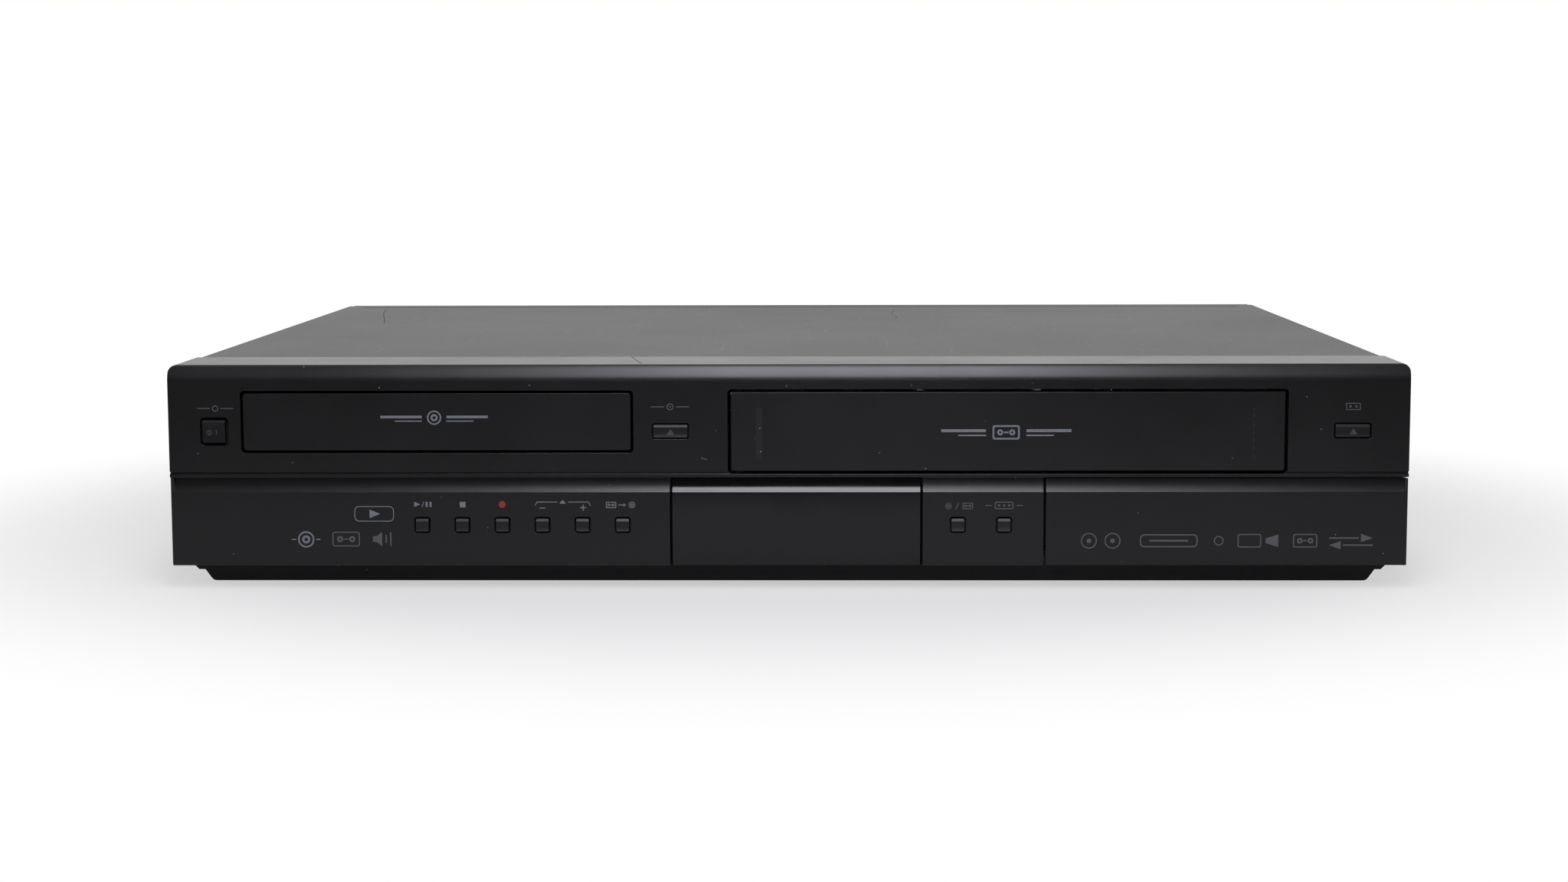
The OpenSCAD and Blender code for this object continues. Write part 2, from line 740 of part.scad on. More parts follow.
module rear_panel() {
    front = panel_y - sheet_t;
    top = cover_top - cover_t - joggle_step - fit_gap;
    side_x = cover_x - cover_t - 2 * fit_gap;
    color([0.12, 0.12, 0.12]) from_front() {
        difference() {
            union() {
                box(-side_x, side_x, front, panel_y, front_z + sheet_t, top);
                box(-side_x, side_x, front - 9, panel_y, top - sheet_t, top);
            }
            // Grille of the fan: rings of slots between four spokes
            intersection() {
                union() for (r = [5, 9, 13, 17]) difference() {
                    pin_y(fan_x, front - 1, panel_y + 1, fan_z, r + 1.25);
                    pin_y(fan_x, front - 2, panel_y + 2, fan_z, r - 1.25);
                }
                difference() {
                    box(fan_x - 30, fan_x + 30, front - 3, panel_y + 3, fan_z - 30, fan_z + 30);
                    for (turn = [45, 135]) translate([fan_x, 0, fan_z]) rotate([0, turn, 0])
                        box(-30, 30, front - 4, panel_y + 4, -1, 1);
                }
            }
            for (x = rca_x, z = rca_z) pin_y(x, front - 1, panel_y + 1, z, jack_r + fit_gap);
            for (x = aerial_x) pin_y(x, front - 1, panel_y + 1, aerial_z, aerial_r + fit_gap);
            for (x = rear_screw_x, z = rear_screw_z) pin_y(x, front - 1, panel_y + 1, z, shank_r + fit_gap);
            box(hdmi_x - 8.3, hdmi_x + 8.3, front - 1, panel_y + 1, hdmi_z - 3.8, hdmi_z + 3.8);
            box(inlet_x - inlet_w / 2 - fit_gap, inlet_x + inlet_w / 2 + fit_gap, front - 1, panel_y + 1,
                inlet_z - inlet_h / 2 - fit_gap, inlet_z + inlet_h / 2 + fit_gap);
            // Air slots beside the power board
            for (i = [0:9]) translate([inlet_x - 100 + 6 * i, 0, 0])
                box(-1.25, 1.25, front - 1, panel_y + 1, 36, 56);
        }
    }
}

module mains_inlet() {
    depth = 18;
    mouth_w = inlet_w - 3.4;
    mouth_h = inlet_h - 3.4;
    color([0.07, 0.07, 0.07]) from_front() {
        difference() {
            union() {
                along_y(panel_y - depth, panel_y + 1.5) translate([inlet_x, inlet_z])
                    rounded(inlet_w, inlet_h, 2);
                box(inlet_x - 4, inlet_x + 4, panel_y - depth - 2, panel_y - 8, board_z + board_t, inlet_z);
            }
            along_y(panel_y - 12, panel_y + 3) translate([inlet_x, inlet_z]) rounded(mouth_w, mouth_h, 4.2);
        }
        for (x = [-4, 4]) pin_y(inlet_x + x, panel_y - 13, panel_y - 4, inlet_z, 1.2);
    }
}

module tuner_block() {
    color([0.68, 0.69, 0.7]) from_front() {
        box(tuner_x - 20, tuner_x + 20, panel_y - sheet_t - fit_gap - 46, panel_y - sheet_t - fit_gap,
            board_z + board_t, aerial_z + 9);
        for (x = aerial_x) difference() {
            pin_y(x, panel_y - sheet_t - 2, case_d, aerial_z, aerial_r);
            pin_y(x, case_d - 7, case_d + 1, aerial_z, 3.4);
            for (i = [0:5]) translate([0, case_d - 6.5 + 1.1 * i, 0]) difference() {
                pin_y(x, 0, 0.4, aerial_z, aerial_r + 1);
                pin_y(x, -1, 1.4, aerial_z, aerial_r - 0.3);
            }
        }
        for (x = aerial_x) difference() {
            pin_y(x, case_d - 7.5, case_d - 1.2, aerial_z, 1.9);
            pin_y(x, case_d - 6, case_d, aerial_z, 0.5);
        }
    }
}

module rear_jack_block() {
    back = panel_y - sheet_t - fit_gap;
    color([0.16, 0.16, 0.16]) from_front() {
        box(rca_x[0] - 7, rca_x[4] + 7, back - 12, back, board_z + board_t, rca_z[1] + 7);
        for (x = rca_x, z = rca_z) difference() {
            pin_y(x, back - 1, panel_y + 7.5, z, jack_r);
            pin_y(x, back, panel_y + 8, z, 1.6);
        }
    }
}

module digital_socket() {
    back = panel_y + 0.6;
    color([0.7, 0.7, 0.72]) from_front() {
        difference() {
            box(hdmi_x - 8, hdmi_x + 8, back - 13, back, hdmi_z - 3.5, hdmi_z + 3.5);
            box(hdmi_x - 7.3, hdmi_x + 7.3, back - 11, back + 1, hdmi_z - 2.8, hdmi_z + 2.8);
        }
        box(hdmi_x - 5.5, hdmi_x + 5.5, back - 12, back - 6, hdmi_z - 0.9, hdmi_z + 0.5);
    }
}

module chip(x, y, w, d, h) {
    box(x - w / 2, x + w / 2, y - d / 2, y + d / 2, board_z + board_t, board_z + board_t + h);
}

module capacitor(x, y, r, h) { translate([x, y, board_z + board_t]) cylinder(r = r, h = h); }

module main_board() {
    mid = (main_x[0] + main_x[1]) / 2;
    color([0.1, 0.32, 0.16]) from_front() {
        box(main_x[0], main_x[1], main_y[0], panel_y - 2, board_z, board_z + board_t);
        chip(mid - 10, main_y[0] + 42, 27, 27, 2.2);
        chip(mid + 30, main_y[0] + 40, 18, 14, 2);
        chip(mid + 30, main_y[0] + 20, 18, 10, 1.2);
        chip(mid - 45, main_y[0] + 20, 12, 8, 1.6);
        for (i = [0:5]) capacitor(main_x[0] + 14 + 12 * i, main_y[0] + 62, 3, 8);
        for (i = [0:2]) box(mid - 30 + 32 * i, mid - 12 + 32 * i, main_y[0] + 3, main_y[0] + 8,
            board_z + board_t, board_z + 10);
    }
}

module power_board() {
    left = power_x_range[0];
    color([0.55, 0.42, 0.22]) from_front() {
        box(left, power_x_range[1], power_y[0], panel_y - 2, board_z, board_z + board_t);
        box(left + 34, left + 66, power_y[0] + 22, power_y[0] + 50, board_z + board_t, board_z + 28);
        box(left + 40, left + 60, power_y[0] + 17, power_y[0] + 55, board_z + board_t, board_z + 22);
        capacitor(left + 92, power_y[0] + 36, 11, 30);
        for (i = [0:3]) capacitor(left + 12, power_y[0] + 14 + 12 * i, 5, 18);
        box(left + 112, left + 116, power_y[0] + 16, power_y[0] + 52, board_z + board_t, board_z + 30);
        for (i = [0:5]) box(left + 115, left + 121, power_y[0] + 17 + 6.5 * i, power_y[0] + 18.5 + 6.5 * i,
            board_z + board_t, board_z + 30);
        chip(left + 140, power_y[0] + 20, 20, 9, 14);
    }
}

module fan_frame() {
    half = fan_size / 2;
    y0 = panel_y - sheet_t - fit_gap - fan_d;
    color([0.08, 0.08, 0.08]) from_front() {
        difference() {
            along_y(y0, y0 + fan_d) translate([fan_x, fan_z]) rounded(fan_size, fan_size, 3);
            pin_y(fan_x, y0 - 1, y0 + fan_d + 1, fan_z, half - 1);
            for (x = [-1, 1], z = [-1, 1]) pin_y(fan_x + x * (half - 4), y0 - 1, y0 + fan_d + 1,
                fan_z + z * (half - 4), 1.7);
        }
        difference() {
            union() {
                pin_y(fan_x, y0, y0 + 2, fan_z, 11);
                pin_y(fan_x, y0 + 1, y0 + 5.5, fan_z, 1);
                for (turn = [30, 150, 270]) translate([fan_x, y0, fan_z]) rotate([0, turn, 0])
                    box(5, half - 0.5, 0, 1.6, -1.2, 1.2);
            }
        }
        box(fan_x + 6, fan_x + 16, y0, y0 + 4, board_z + board_t, fan_z - half + 0.5);
    }
}

module fan_rotor() {
    y0 = panel_y - sheet_t - fit_gap - fan_d;
    hub_r = 10;
    tip_r = fan_size / 2 - 2;
    color([0.1, 0.1, 0.1]) from_front() {
        difference() {
            pin_y(fan_x, y0 + 2.5, y0 + fan_d - 0.8, fan_z, hub_r);
            pin_y(fan_x, y0 + 2, y0 + 6, fan_z, 1 + run_gap);
        }
        for (i = [0:fan_blades - 1]) translate([fan_x, y0 + 3, fan_z]) rotate([0, 360 / fan_blades * i, 0])
            rotate([-90, 0, 0]) linear_extrude(fan_d - 4.5, twist = 40, slices = 3)
                translate([hub_r - 1, -0.5]) square([tip_r - hub_r + 1, 1]);
    }
}

// ---- Disc drive ----

drive_end = drive_y + drive_d;
drive_wall = 2.2;
base_top = drive_z + 27;
drive_floor = drive_z + drive_wall;
spindle_y = drive_y + 71;
tray_z = drive_z + 22;
tray_t = 6;
tray_half = tray_front_w / 2 - 1.3;
tray_y = 9;
tray_end = drive_y + 160;
lid_t = 0.8;

// Gear train from the motor to the rack under the tray
backlash = 0.12;
pinion_r = rack_m * pinion_n / 2;
wheel_r = train_m * wheel_n / 2;
small_gear_r = train_m * pulley_n / 2;
gear_x = drive_x - 42;
gear_y = drive_y + 24;
rack_x = gear_x - pinion_r;
pulley_x = gear_x + wheel_r + small_gear_r;
motor_x = pulley_x + 34;
gear_pin_r = 2;
pulley_pin_r = 1.6;
gear_low = drive_floor + 2.8;
gear_face = 3.5;
pinion_low = tray_z - 4.4;
pulley_low = tray_z - 5.5;
belt_z = pulley_low + 1.2;

// Tilting traverse
traverse_half = 40;
traverse_pivot = [drive_y + 162, drive_z + 8.5];
traverse_front = drive_y + 54;
plate_t = 2;
rod_x = 20;
rod_r = 1.5;
rod_z = traverse_pivot[1] + 3.5;
sled_y = spindle_y + 16;

function involute(a) = tan(a) * 180 / PI - a;

// Half the angle that a tooth takes up at radius rho
function tooth_half(m, n, rho) =
    (90 - 180 * backlash / (m * PI) / 2) / n
    + involute(20) - involute(acos(min(1, m * n / 2 * cos(20) / rho)));

module gear_outline(m, n) {
    pitch = m * n / 2;
    root = pitch - 1.25 * m;
    tip = pitch + 0.9 * m;
    base = max(root + 0.05, pitch * cos(20));
    flank = [base, (base + pitch) / 2, pitch, tip];
    polygon([for (i = [0:n - 1]) let (mid = 360 / n * i) each concat(
        [root * [cos(mid - tooth_half(m, n, base)), sin(mid - tooth_half(m, n, base))]],
        [for (rho = flank) rho * [cos(mid - tooth_half(m, n, rho)), sin(mid - tooth_half(m, n, rho))]],
        [for (k = [3:-1:0]) let (rho = flank[k])
            rho * [cos(mid + tooth_half(m, n, rho)), sin(mid + tooth_half(m, n, rho))]],
        [root * [cos(mid + tooth_half(m, n, base)), sin(mid + tooth_half(m, n, base))]])]);
}

module gear(m, n, turn, z0, z1) {
    translate([0, 0, z0]) rotate([0, 0, turn]) linear_extrude(z1 - z0) gear_outline(m, n);
}

// Straight teeth along Y that point to +X, with a gap centred at y = 0
module rack_outline(m, first, last) {
    pitch = PI * m;
    half = pitch / 4 - backlash / 2;
    lean = tan(20);
    for (i = [first:last]) translate([0, (i + 0.5) * pitch]) polygon([
        [-1.25 * m - eps, -half - 1.25 * m * lean], [0.9 * m, -half + 0.9 * m * lean],
        [0.9 * m, half - 0.9 * m * lean], [-1.25 * m - eps, half + 1.25 * m * lean]]);
}

module drive_base() {
    half = drive_w / 2;
    color([0.1, 0.1, 0.11]) from_front() {
        difference() {
            box(drive_x - half, drive_x + half, drive_y, drive_end, drive_z, base_top);
            box(drive_x - half + drive_wall, drive_x + half - drive_wall, drive_y + drive_wall,
                drive_end - drive_wall, drive_floor, base_top + 1);
            box(drive_x - half + drive_wall, drive_x + half - drive_wall, drive_y - 1, drive_y + 4,
                pinion_low - 0.8, base_top + 1);
            box(drive_x - 34, drive_x + 34, traverse_front + 14, traverse_pivot[0] - 14,
                drive_z - 1, drive_floor + 1);
        }
        for (side = [-1, 1]) {
            // Rails that the tray runs on
            box(drive_x + side * (tray_half + half - 6) / 2 - (half - tray_half + 2) / 2,
                drive_x + side * (tray_half + half - 6) / 2 + (half - tray_half + 2) / 2,
                drive_y + 8, drive_end - 1, tray_z - 2.6, tray_z - fit_gap);
            difference() {
                ear = drive_x + side * (traverse_half + 2.6);
                box(ear - 1.5, ear + 1.5, traverse_pivot[0] - 4, traverse_pivot[0] + 4, drive_floor - eps,
                    traverse_pivot[1] + 3.5);
                pin_x(ear - 2, ear + 2, traverse_pivot[0], traverse_pivot[1], rod_r + run_gap);
            }
        }
        for (p = [[gear_x, gear_pin_r, 4.2], [pulley_x, pulley_pin_r, 3.6]]) translate([p[0], gear_y, 0]) {
            translate([0, 0, drive_z + 1]) cylinder(r = p[1], h = tray_z - 0.8 - drive_z - 1);
            translate([0, 0, drive_z + 1]) cylinder(r = p[2], h = gear_low - fit_gap - drive_z - 1);
        }
    }
}

module drive_lid() {
    half = drive_w / 2;
    color([0.66, 0.67, 0.68]) from_front() difference() {
        along_y(drive_y, drive_end) translate([drive_x, 0]) difference() {
            translate([-half, base_top]) square([drive_w, drive_top - base_top]);
            translate([lid_t - half, base_top - 1])
                square([drive_w - 2 * lid_t, drive_top - base_top + 1 - lid_t]);
        }
        translate([drive_x, spindle_y, base_top]) cylinder(r = 10.8, h = 30);
        for (x = [-50, 50], y = [30, 150]) translate([drive_x + x, drive_y + y, base_top])
            cylinder(r = 3, h = 30);
    }
}

module disc_tray() {
    color([0.12, 0.12, 0.12]) from_front() {
        difference() {
            translate([drive_x, (tray_y + tray_end) / 2, tray_z]) linear_extrude(tray_t)
                rounded(2 * tray_half, tray_end - tray_y, 4);
            translate([drive_x, spindle_y, tray_z]) {
                translate([0, 0, tray_t - 2.2]) cylinder(r = disc_r + 1, h = 3, $fn = 96);
                translate([0, 0, tray_t - 3.4]) cylinder(r = 41, h = 3);
                translate([0, 0, -1]) cylinder(r = 24.5, h = tray_t + 2);
            }
            box(drive_x - 24.5, drive_x + 24.5, spindle_y, spindle_y + 66, tray_z - 1, tray_z + tray_t + 1);
            // Finger notches at both sides of the disc
            for (side = [-1, 1]) {
                translate([drive_x + side * (disc_r + 2), spindle_y - 30, tray_z + tray_t - 2.2])
                    cylinder(r = 8, h = 3);
            }
            // Hollowed underside
            for (x = [drive_x - 58, drive_x + 28]) {
                box(x, x + 30, tray_y + 3, tray_y + 60, tray_z - 1, tray_z + 1.4);
            }
            for (x = [drive_x - 50, drive_x + 28]) {
                box(x, x + 22, tray_end - 60, tray_end - 4, tray_z - 1, tray_z + 1.4);
            }
        }
        teeth_low = -2;
        teeth_high = floor((tray_end - 3 - gear_y) / (PI * rack_m)) - 1;
        translate([0, 0, pinion_low]) linear_extrude(tray_z - pinion_low + 0.5) {
            translate([rack_x, gear_y]) rack_outline(rack_m, teeth_low, teeth_high);
            translate([rack_x - 1.25 * rack_m - 4, gear_y + (teeth_low - 0.3) * PI * rack_m])
                square([4, (teeth_high - teeth_low + 1.6) * PI * rack_m]);
        }
        box(rack_x - 1.25 * rack_m - 4, rack_x - 1.25 * rack_m, gear_y - 6, tray_end - 1,
            tray_z - 1, tray_z + 1.5);
    }
}

module tray_front() {
    half = tray_front_w / 2;
    low = tray_front_z - tray_front_h / 2;
    color([0.12, 0.12, 0.12]) from_front() {
        along_y(0.15, wall) translate([tray_x, tray_front_z]) rounded(tray_front_w, tray_front_h, 1);
        along_y(wall - eps, wall + 2.4) translate([tray_x, tray_front_z]) difference() {
            rounded(tray_front_w - 3, tray_front_h - 3, 1);
            rounded(tray_front_w - 5.4, tray_front_h - 5.4, 1);
        }
        for (x = [-half + 12, -10, half - 32]) {
            box(tray_x + x, tray_x + x + 20, wall - eps, tray_y, tray_z, tray_z + tray_t - 1);
        }
    }
}

module tray_gear() {
    color([0.85, 0.84, 0.8]) from_front() translate([gear_x, gear_y, 0]) difference() {
        union() {
            gear(train_m, wheel_n, 0, gear_low, gear_low + gear_face);
            gear(rack_m, pinion_n, 180, pinion_low + 0.2, tray_z - 1.1);
            translate([0, 0, gear_low]) cylinder(r = 6, h = pinion_low - gear_low + 1);
        }
        translate([0, 0, gear_low - 1]) cylinder(r = gear_pin_r + run_gap, h = 40);
        for (i = [0:4]) {
            rotate([0, 0, 36 + 72 * i]) translate([12.5, 0, gear_low - 1])
                cylinder(r = 3.6, h = gear_face + 2);
        }
    }
}

module pulley_gear() {
    color([0.85, 0.84, 0.8]) from_front() translate([pulley_x, gear_y, 0]) difference() {
        union() {
            gear(train_m, pulley_n, 180 + 180 / pulley_n, gear_low, gear_low + gear_face + 0.8);
            translate([0, 0, gear_low + gear_face])
                cylinder(r = 4.6, h = pulley_low - gear_low - gear_face + 1);
            translate([0, 0, pulley_low]) cylinder(r = pulley_r, h = 4);
            for (z = [0, 3]) translate([0, 0, pulley_low + z]) cylinder(r = pulley_r + 1, h = 1);
        }
        translate([0, 0, gear_low - 1]) cylinder(r = pulley_pin_r + run_gap, h = 40);
    }
}

module motor_pulley() {
    color([0.75, 0.75, 0.76]) from_front() translate([motor_x, gear_y, 0]) {
        translate([0, 0, pulley_low]) cylinder(r = motor_pulley_r, h = 4);
        for (z = [0, 3]) translate([0, 0, pulley_low + z]) cylinder(r = motor_pulley_r + 1, h = 1);
        translate([0, 0, pulley_low - 5]) cylinder(r = 1, h = 5.5);
    }
}

module loading_motor() {
    color([0.6, 0.6, 0.62]) from_front() translate([motor_x, gear_y, 0]) difference() {
        union() {
            translate([0, 0, drive_floor]) cylinder(r = 11, h = pulley_low - 1.6 - drive_floor);
            translate([0, 0, drive_floor]) cylinder(r = 3.5, h = pulley_low - 0.6 - drive_floor);
        }
        translate([0, 0, pulley_low - 6]) cylinder(r = 1 + run_gap, h = 8);
    }
}

module belt_outline(grow) {
    hull() {
        translate([pulley_x, gear_y]) circle(pulley_r + grow);
        translate([motor_x, gear_y]) circle(motor_pulley_r + grow);
    }
}

module drive_belt() {
    color([0.05, 0.05, 0.05]) from_front() translate([0, 0, belt_z]) linear_extrude(1.6) difference() {
        belt_outline(fit_gap + 1);
        belt_outline(fit_gap);
    }
}

module traverse() {
    y1 = traverse_pivot[0] + 6;
    z0 = traverse_pivot[1] - 1;
    color([0.2, 0.2, 0.21]) from_front() {
        difference() {
            union() {
                box(drive_x - traverse_half, drive_x + traverse_half, traverse_front, y1, z0, z0 + plate_t);
                for (side = [-1, 1]) {
                    flange_x = drive_x + side * (traverse_half - 1);
                    box(flange_x - 1, flange_x + 1, traverse_front, y1, z0 - 1.8, z0 + plate_t);
                }
            }
            box(drive_x - 25, drive_x + 25, sled_y - 2, traverse_pivot[0] - 8, z0 - 3, z0 + 3);
        }
        for (side = [-1, 1]) {
            x = drive_x + side * traverse_half;
            pin_x(min(x, x + side * 4), max(x, x + side * 4), traverse_pivot[0], traverse_pivot[1], rod_r);
            // Clips that hold the rods
            for (y = [sled_y - 5, traverse_pivot[0] - 8]) difference() {
                box(drive_x + side * rod_x - 3, drive_x + side * rod_x + 3, y, y + 4, z0 + 1, rod_z + 1.2);
                pin_y(drive_x + side * rod_x, y - 1, y + 5, rod_z, rod_r + 0.02);
            }
        }
    }
}

module guide_rods() {
    color([0.8, 0.8, 0.82]) from_front() for (side = [-1, 1])
        pin_y(drive_x + side * rod_x, sled_y - 5, traverse_pivot[0] - 4, rod_z, rod_r);
}

module spindle_motor() {
    z0 = traverse_pivot[1] + 1;
    color([0.62, 0.62, 0.64]) from_front() translate([drive_x, spindle_y, 0]) difference() {
        union() {
            translate([0, 0, z0]) cylinder(r = 12.5, h = 4);
            translate([0, 0, z0 + 4 - eps]) cylinder(r = 4, h = 0.9);
        }
        translate([0, 0, z0 + 0.6]) cylinder(r = 1.2 + run_gap, h = 8);
    }
}

module turntable() {
    z0 = traverse_pivot[1] + 6.2;
    color([0.3, 0.3, 0.31]) from_front() translate([drive_x, spindle_y, 0]) difference() {
        union() {
            translate([0, 0, z0]) rotate_extrude()
                polygon([[0, 0], [15, 0], [15, 1.8], [8, 1.8], [7.4, 2.2], [7.2, 3.4], [5.2, 5], [0, 5]]);
            translate([0, 0, z0 - 4.3]) cylinder(r = 1.2, h = 4.8);
        }
        translate([0, 0, z0 + 3.4]) cylinder(r = 3, h = 3);
    }
}

module disc_clamp() {
    low = drive_top - 11.3;
    color([0.14, 0.14, 0.14]) from_front() translate([drive_x, spindle_y, 0]) difference() {
        union() {
            translate([0, 0, low]) cylinder(r = 14, h = 2);
            translate([0, 0, low]) cylinder(r = 10.4, h = drive_top + 1 - low);
            translate([0, 0, drive_top + fit_gap]) cylinder(r = 16, h = 1.6);
        }
        translate([0, 0, low - 1]) cylinder(r = 8, h = 5);
    }
}

module pickup_sled() {
    half = 23;
    color([0.32, 0.33, 0.35]) from_front() {
        difference() {
            union() {
                box(drive_x - half, drive_x + half, sled_y, sled_y + 24, rod_z - 3, rod_z + 3);
                box(drive_x - 14, drive_x + 14, sled_y + 1, sled_y + 22, rod_z - 5.5, rod_z + 4.5);
                translate([drive_x, sled_y + 9, rod_z + 4]) cylinder(r = 4.5, h = 2);
            }
            for (side = [-1, 1]) {
                pin_y(drive_x + side * rod_x, sled_y - 1, sled_y + 25, rod_z, rod_r + run_gap);
            }
            translate([drive_x, sled_y + 9, rod_z + 5.4]) cylinder(r = 2.4, h = 2);
        }
        translate([drive_x, sled_y + 9, rod_z + 5]) intersection() {
            translate([0, 0, -2.6]) sphere(r = 3.4);
            cylinder(r = 2.4, h = 2);
        }
    }
}

// ---- Tape deck ----

deck_top = deck_z + deck_t;
reel_y = deck_y + 54;
reel_gear_n = 40;
reel_pin_r = 2;
drum_y = deck_end - 36;
drum_gap = 0.4;
drum_low_h = 15;
drum_high_h = 17;
drum_shaft_r = 3;
capstan_x = deck_x + 62;
capstan_y = deck_y + 130;
pinch_pivot = [capstan_x + 20, capstan_y + 14];
pinch_at = [capstan_x + 11.5, capstan_y - 4];
pinch_r = 6;
carriage_y = 34;
carriage_d = tape_d;
carriage_low = flap_low - 1.3;
carriage_half = tape_w / 2 + 0.5;
carriage_t = 0.8;
carriage_travel = 40;
slot_z = flap_low + 16;
slot_drop = 14;
carriage_pin_r = 2;
carriage_pin_y = [carriage_y + 20, carriage_y + 80];
frame_in = carriage_half + carriage_t + 3.5;
frame_t = 1.2;

module deck_plate() {
    color([0.6, 0.61, 0.62]) from_front() {
        difference() {
            union() {
                box(deck_x - deck_half, deck_x + deck_half, deck_y, deck_end, deck_z, deck_top);
                for (y = [deck_y, deck_end - deck_t]) {
                    box(deck_x - deck_half + 12, deck_x + deck_half - 12, y, y + deck_t,
                        deck_z - 6, deck_top);
                }
                translate([capstan_x, capstan_y, deck_z - 1]) cylinder(r = 4, h = 8.5);
            }
            translate([capstan_x, capstan_y, deck_z - 2]) cylinder(r = capstan_r + run_gap, h = 20);
            for (p = deck_post) translate([p[0], p[1], deck_z - 1]) cylinder(r = 1.6, h = 5);
            for (i = [-2:2]) translate([deck_x + 34 * i, deck_y + 16, deck_z - 1]) cylinder(r = 7, h = 5);
            box(deck_x - 26, deck_x + 26, deck_y + 84, deck_y + 104, deck_z - 1, deck_top + 1);
        }
        for (side = [-1, 1]) translate([deck_x + side * reel_pitch / 2, reel_y, deck_z]) {
            cylinder(r = reel_pin_r, h = 14);
            cylinder(r = 5, h = deck_t + 0.4);
        }
        translate([pinch_pivot[0], pinch_pivot[1], deck_z]) cylinder(r = 2, h = 22);
        translate([pinch_pivot[0], pinch_pivot[1], deck_z]) cylinder(r = 4, h = deck_t + 6);
    }
}

// Splined spindle on a toothed table
module reel(side) {
    x = deck_x + side * reel_pitch / 2;
    low = deck_top + 0.7;
    color([0.16, 0.16, 0.17]) from_front() translate([x, reel_y, 0]) difference() {
        union() {
            gear(1, reel_gear_n, 0, low, low + 3);
            translate([0, 0, low]) cylinder(r = 15, h = 4.6);
            translate([0, 0, low]) rotate_extrude()
                polygon([[0, 0], [4.6, 0], [4.6, 13], [3, 14.2], [0, 14.2]]);
            for (i = [0:5]) rotate([0, 0, 60 * i]) translate([3.5, -0.8, low]) cube([2.5, 1.6, 12]);
        }
        translate([0, 0, low - 1]) cylinder(r = reel_pin_r + run_gap, h = 14.5);
    }
}

module supply_reel() { reel(-1); }
module takeup_reel() { reel(1); }

module drum_place() {
    translate([deck_x, drum_y, deck_top + 4]) rotate([-drum_tilt, 0, 0]) children();
}

module drum_base() {
    color([0.7, 0.7, 0.72]) from_front() {
        difference() {
            box(deck_x - 33, deck_x + 33, drum_y - 25, drum_y + 33, deck_top, deck_top + 9);
            drum_place() translate([0, 0, 1]) cylinder(r = drum_r + 4, h = 30);
        }
        drum_place() {
            translate([0, 0, 0.9]) cylinder(r = drum_r, h = drum_low_h - 0.9);
            translate([0, 0, 2]) cylinder(r = drum_shaft_r, h = drum_low_h + drum_high_h - 5);
        }
    }
}

module head_drum() {
    z0 = drum_low_h + drum_gap;
    color([0.78, 0.78, 0.8]) from_front() drum_place() difference() {
        union() {
            translate([0, 0, z0]) cylinder(r = drum_r, h = drum_high_h - 3);
            translate([0, 0, z0]) cylinder(r = 12, h = drum_high_h - 1);
        }
        translate([0, 0, z0 + drum_high_h - 6]) difference() {
            cylinder(r = drum_r - 5, h = 10);
            translate([0, 0, -1]) cylinder(r = 14, h = 12);
        }
        translate([0, 0, z0 - 1]) cylinder(r = drum_shaft_r + run_gap, h = drum_high_h - 1.5);
        for (turn = [0, 90, 180, 270]) rotate([0, 0, turn + 20])
            translate([drum_r - 1.4, -1.6, z0 - 1]) cube([3, 3.2, 3.4]);
    }
}

module capstan() {
    color([0.75, 0.75, 0.77]) from_front() translate([capstan_x, capstan_y, 0]) {
        difference() {
            translate([0, 0, deck_z - 12]) cylinder(r = 22, h = 9);
            translate([0, 0, deck_z - 5]) difference() {
                cylinder(r = 19, h = 5);
                translate([0, 0, -1]) cylinder(r = 6, h = 7);
            }
        }
        translate([0, 0, deck_z - 14]) cylinder(r = capstan_r, h = 42);
    }
}

module pinch_arm() {
    low = deck_top + 6.3;
    color([0.66, 0.66, 0.68]) from_front() difference() {
        union() {
            for (z = [low, low + 14]) translate([0, 0, z]) linear_extrude(1.2) hull() {
                translate(pinch_pivot) circle(4);
                translate(pinch_at) circle(3);
            }
            translate([pinch_pivot[0], pinch_pivot[1], low]) cylinder(r = 3.4, h = 15);
            translate([pinch_at[0], pinch_at[1], low + 1]) cylinder(r = pinch_r, h = 13.2);
        }
        translate([pinch_pivot[0], pinch_pivot[1], low - 1]) cylinder(r = 2 + run_gap, h = 18);
    }
}

module tape_heads() {
    erase_head = [deck_x - 62, capstan_y + 4, 12];
    sound_head = [deck_x + 45, capstan_y + 10, 14];
    color([0.74, 0.74, 0.76]) from_front() for (head = [erase_head, sound_head]) {
        translate([head[0], head[1], deck_top]) {
            cylinder(r = 3, h = 8);
            translate([-6, -5, 7.8]) cube([12, 10, 1.4]);
            translate([-4.5, -2, 9]) cube([9, 6, head[2]]);
            translate([0, -1, 9]) cylinder(r = 4.2, h = head[2]);
        }
    }
}

module guide_posts() {
    color([0.82, 0.82, 0.84]) from_front() for (x = [-52, -39, 36, 52]) {
        translate([deck_x + x, capstan_y - (abs(x) > 45 ? 4 : 8), deck_top]) {
            cylinder(r = 4.5, h = 3);
            cylinder(r = 1.5, h = 32);
            translate([0, 0, 7]) cylinder(r = 2.8, h = 19);
            for (z = [6, 26]) translate([0, 0, z]) cylinder(r = 3.8, h = 1.2);
        }
    }
}

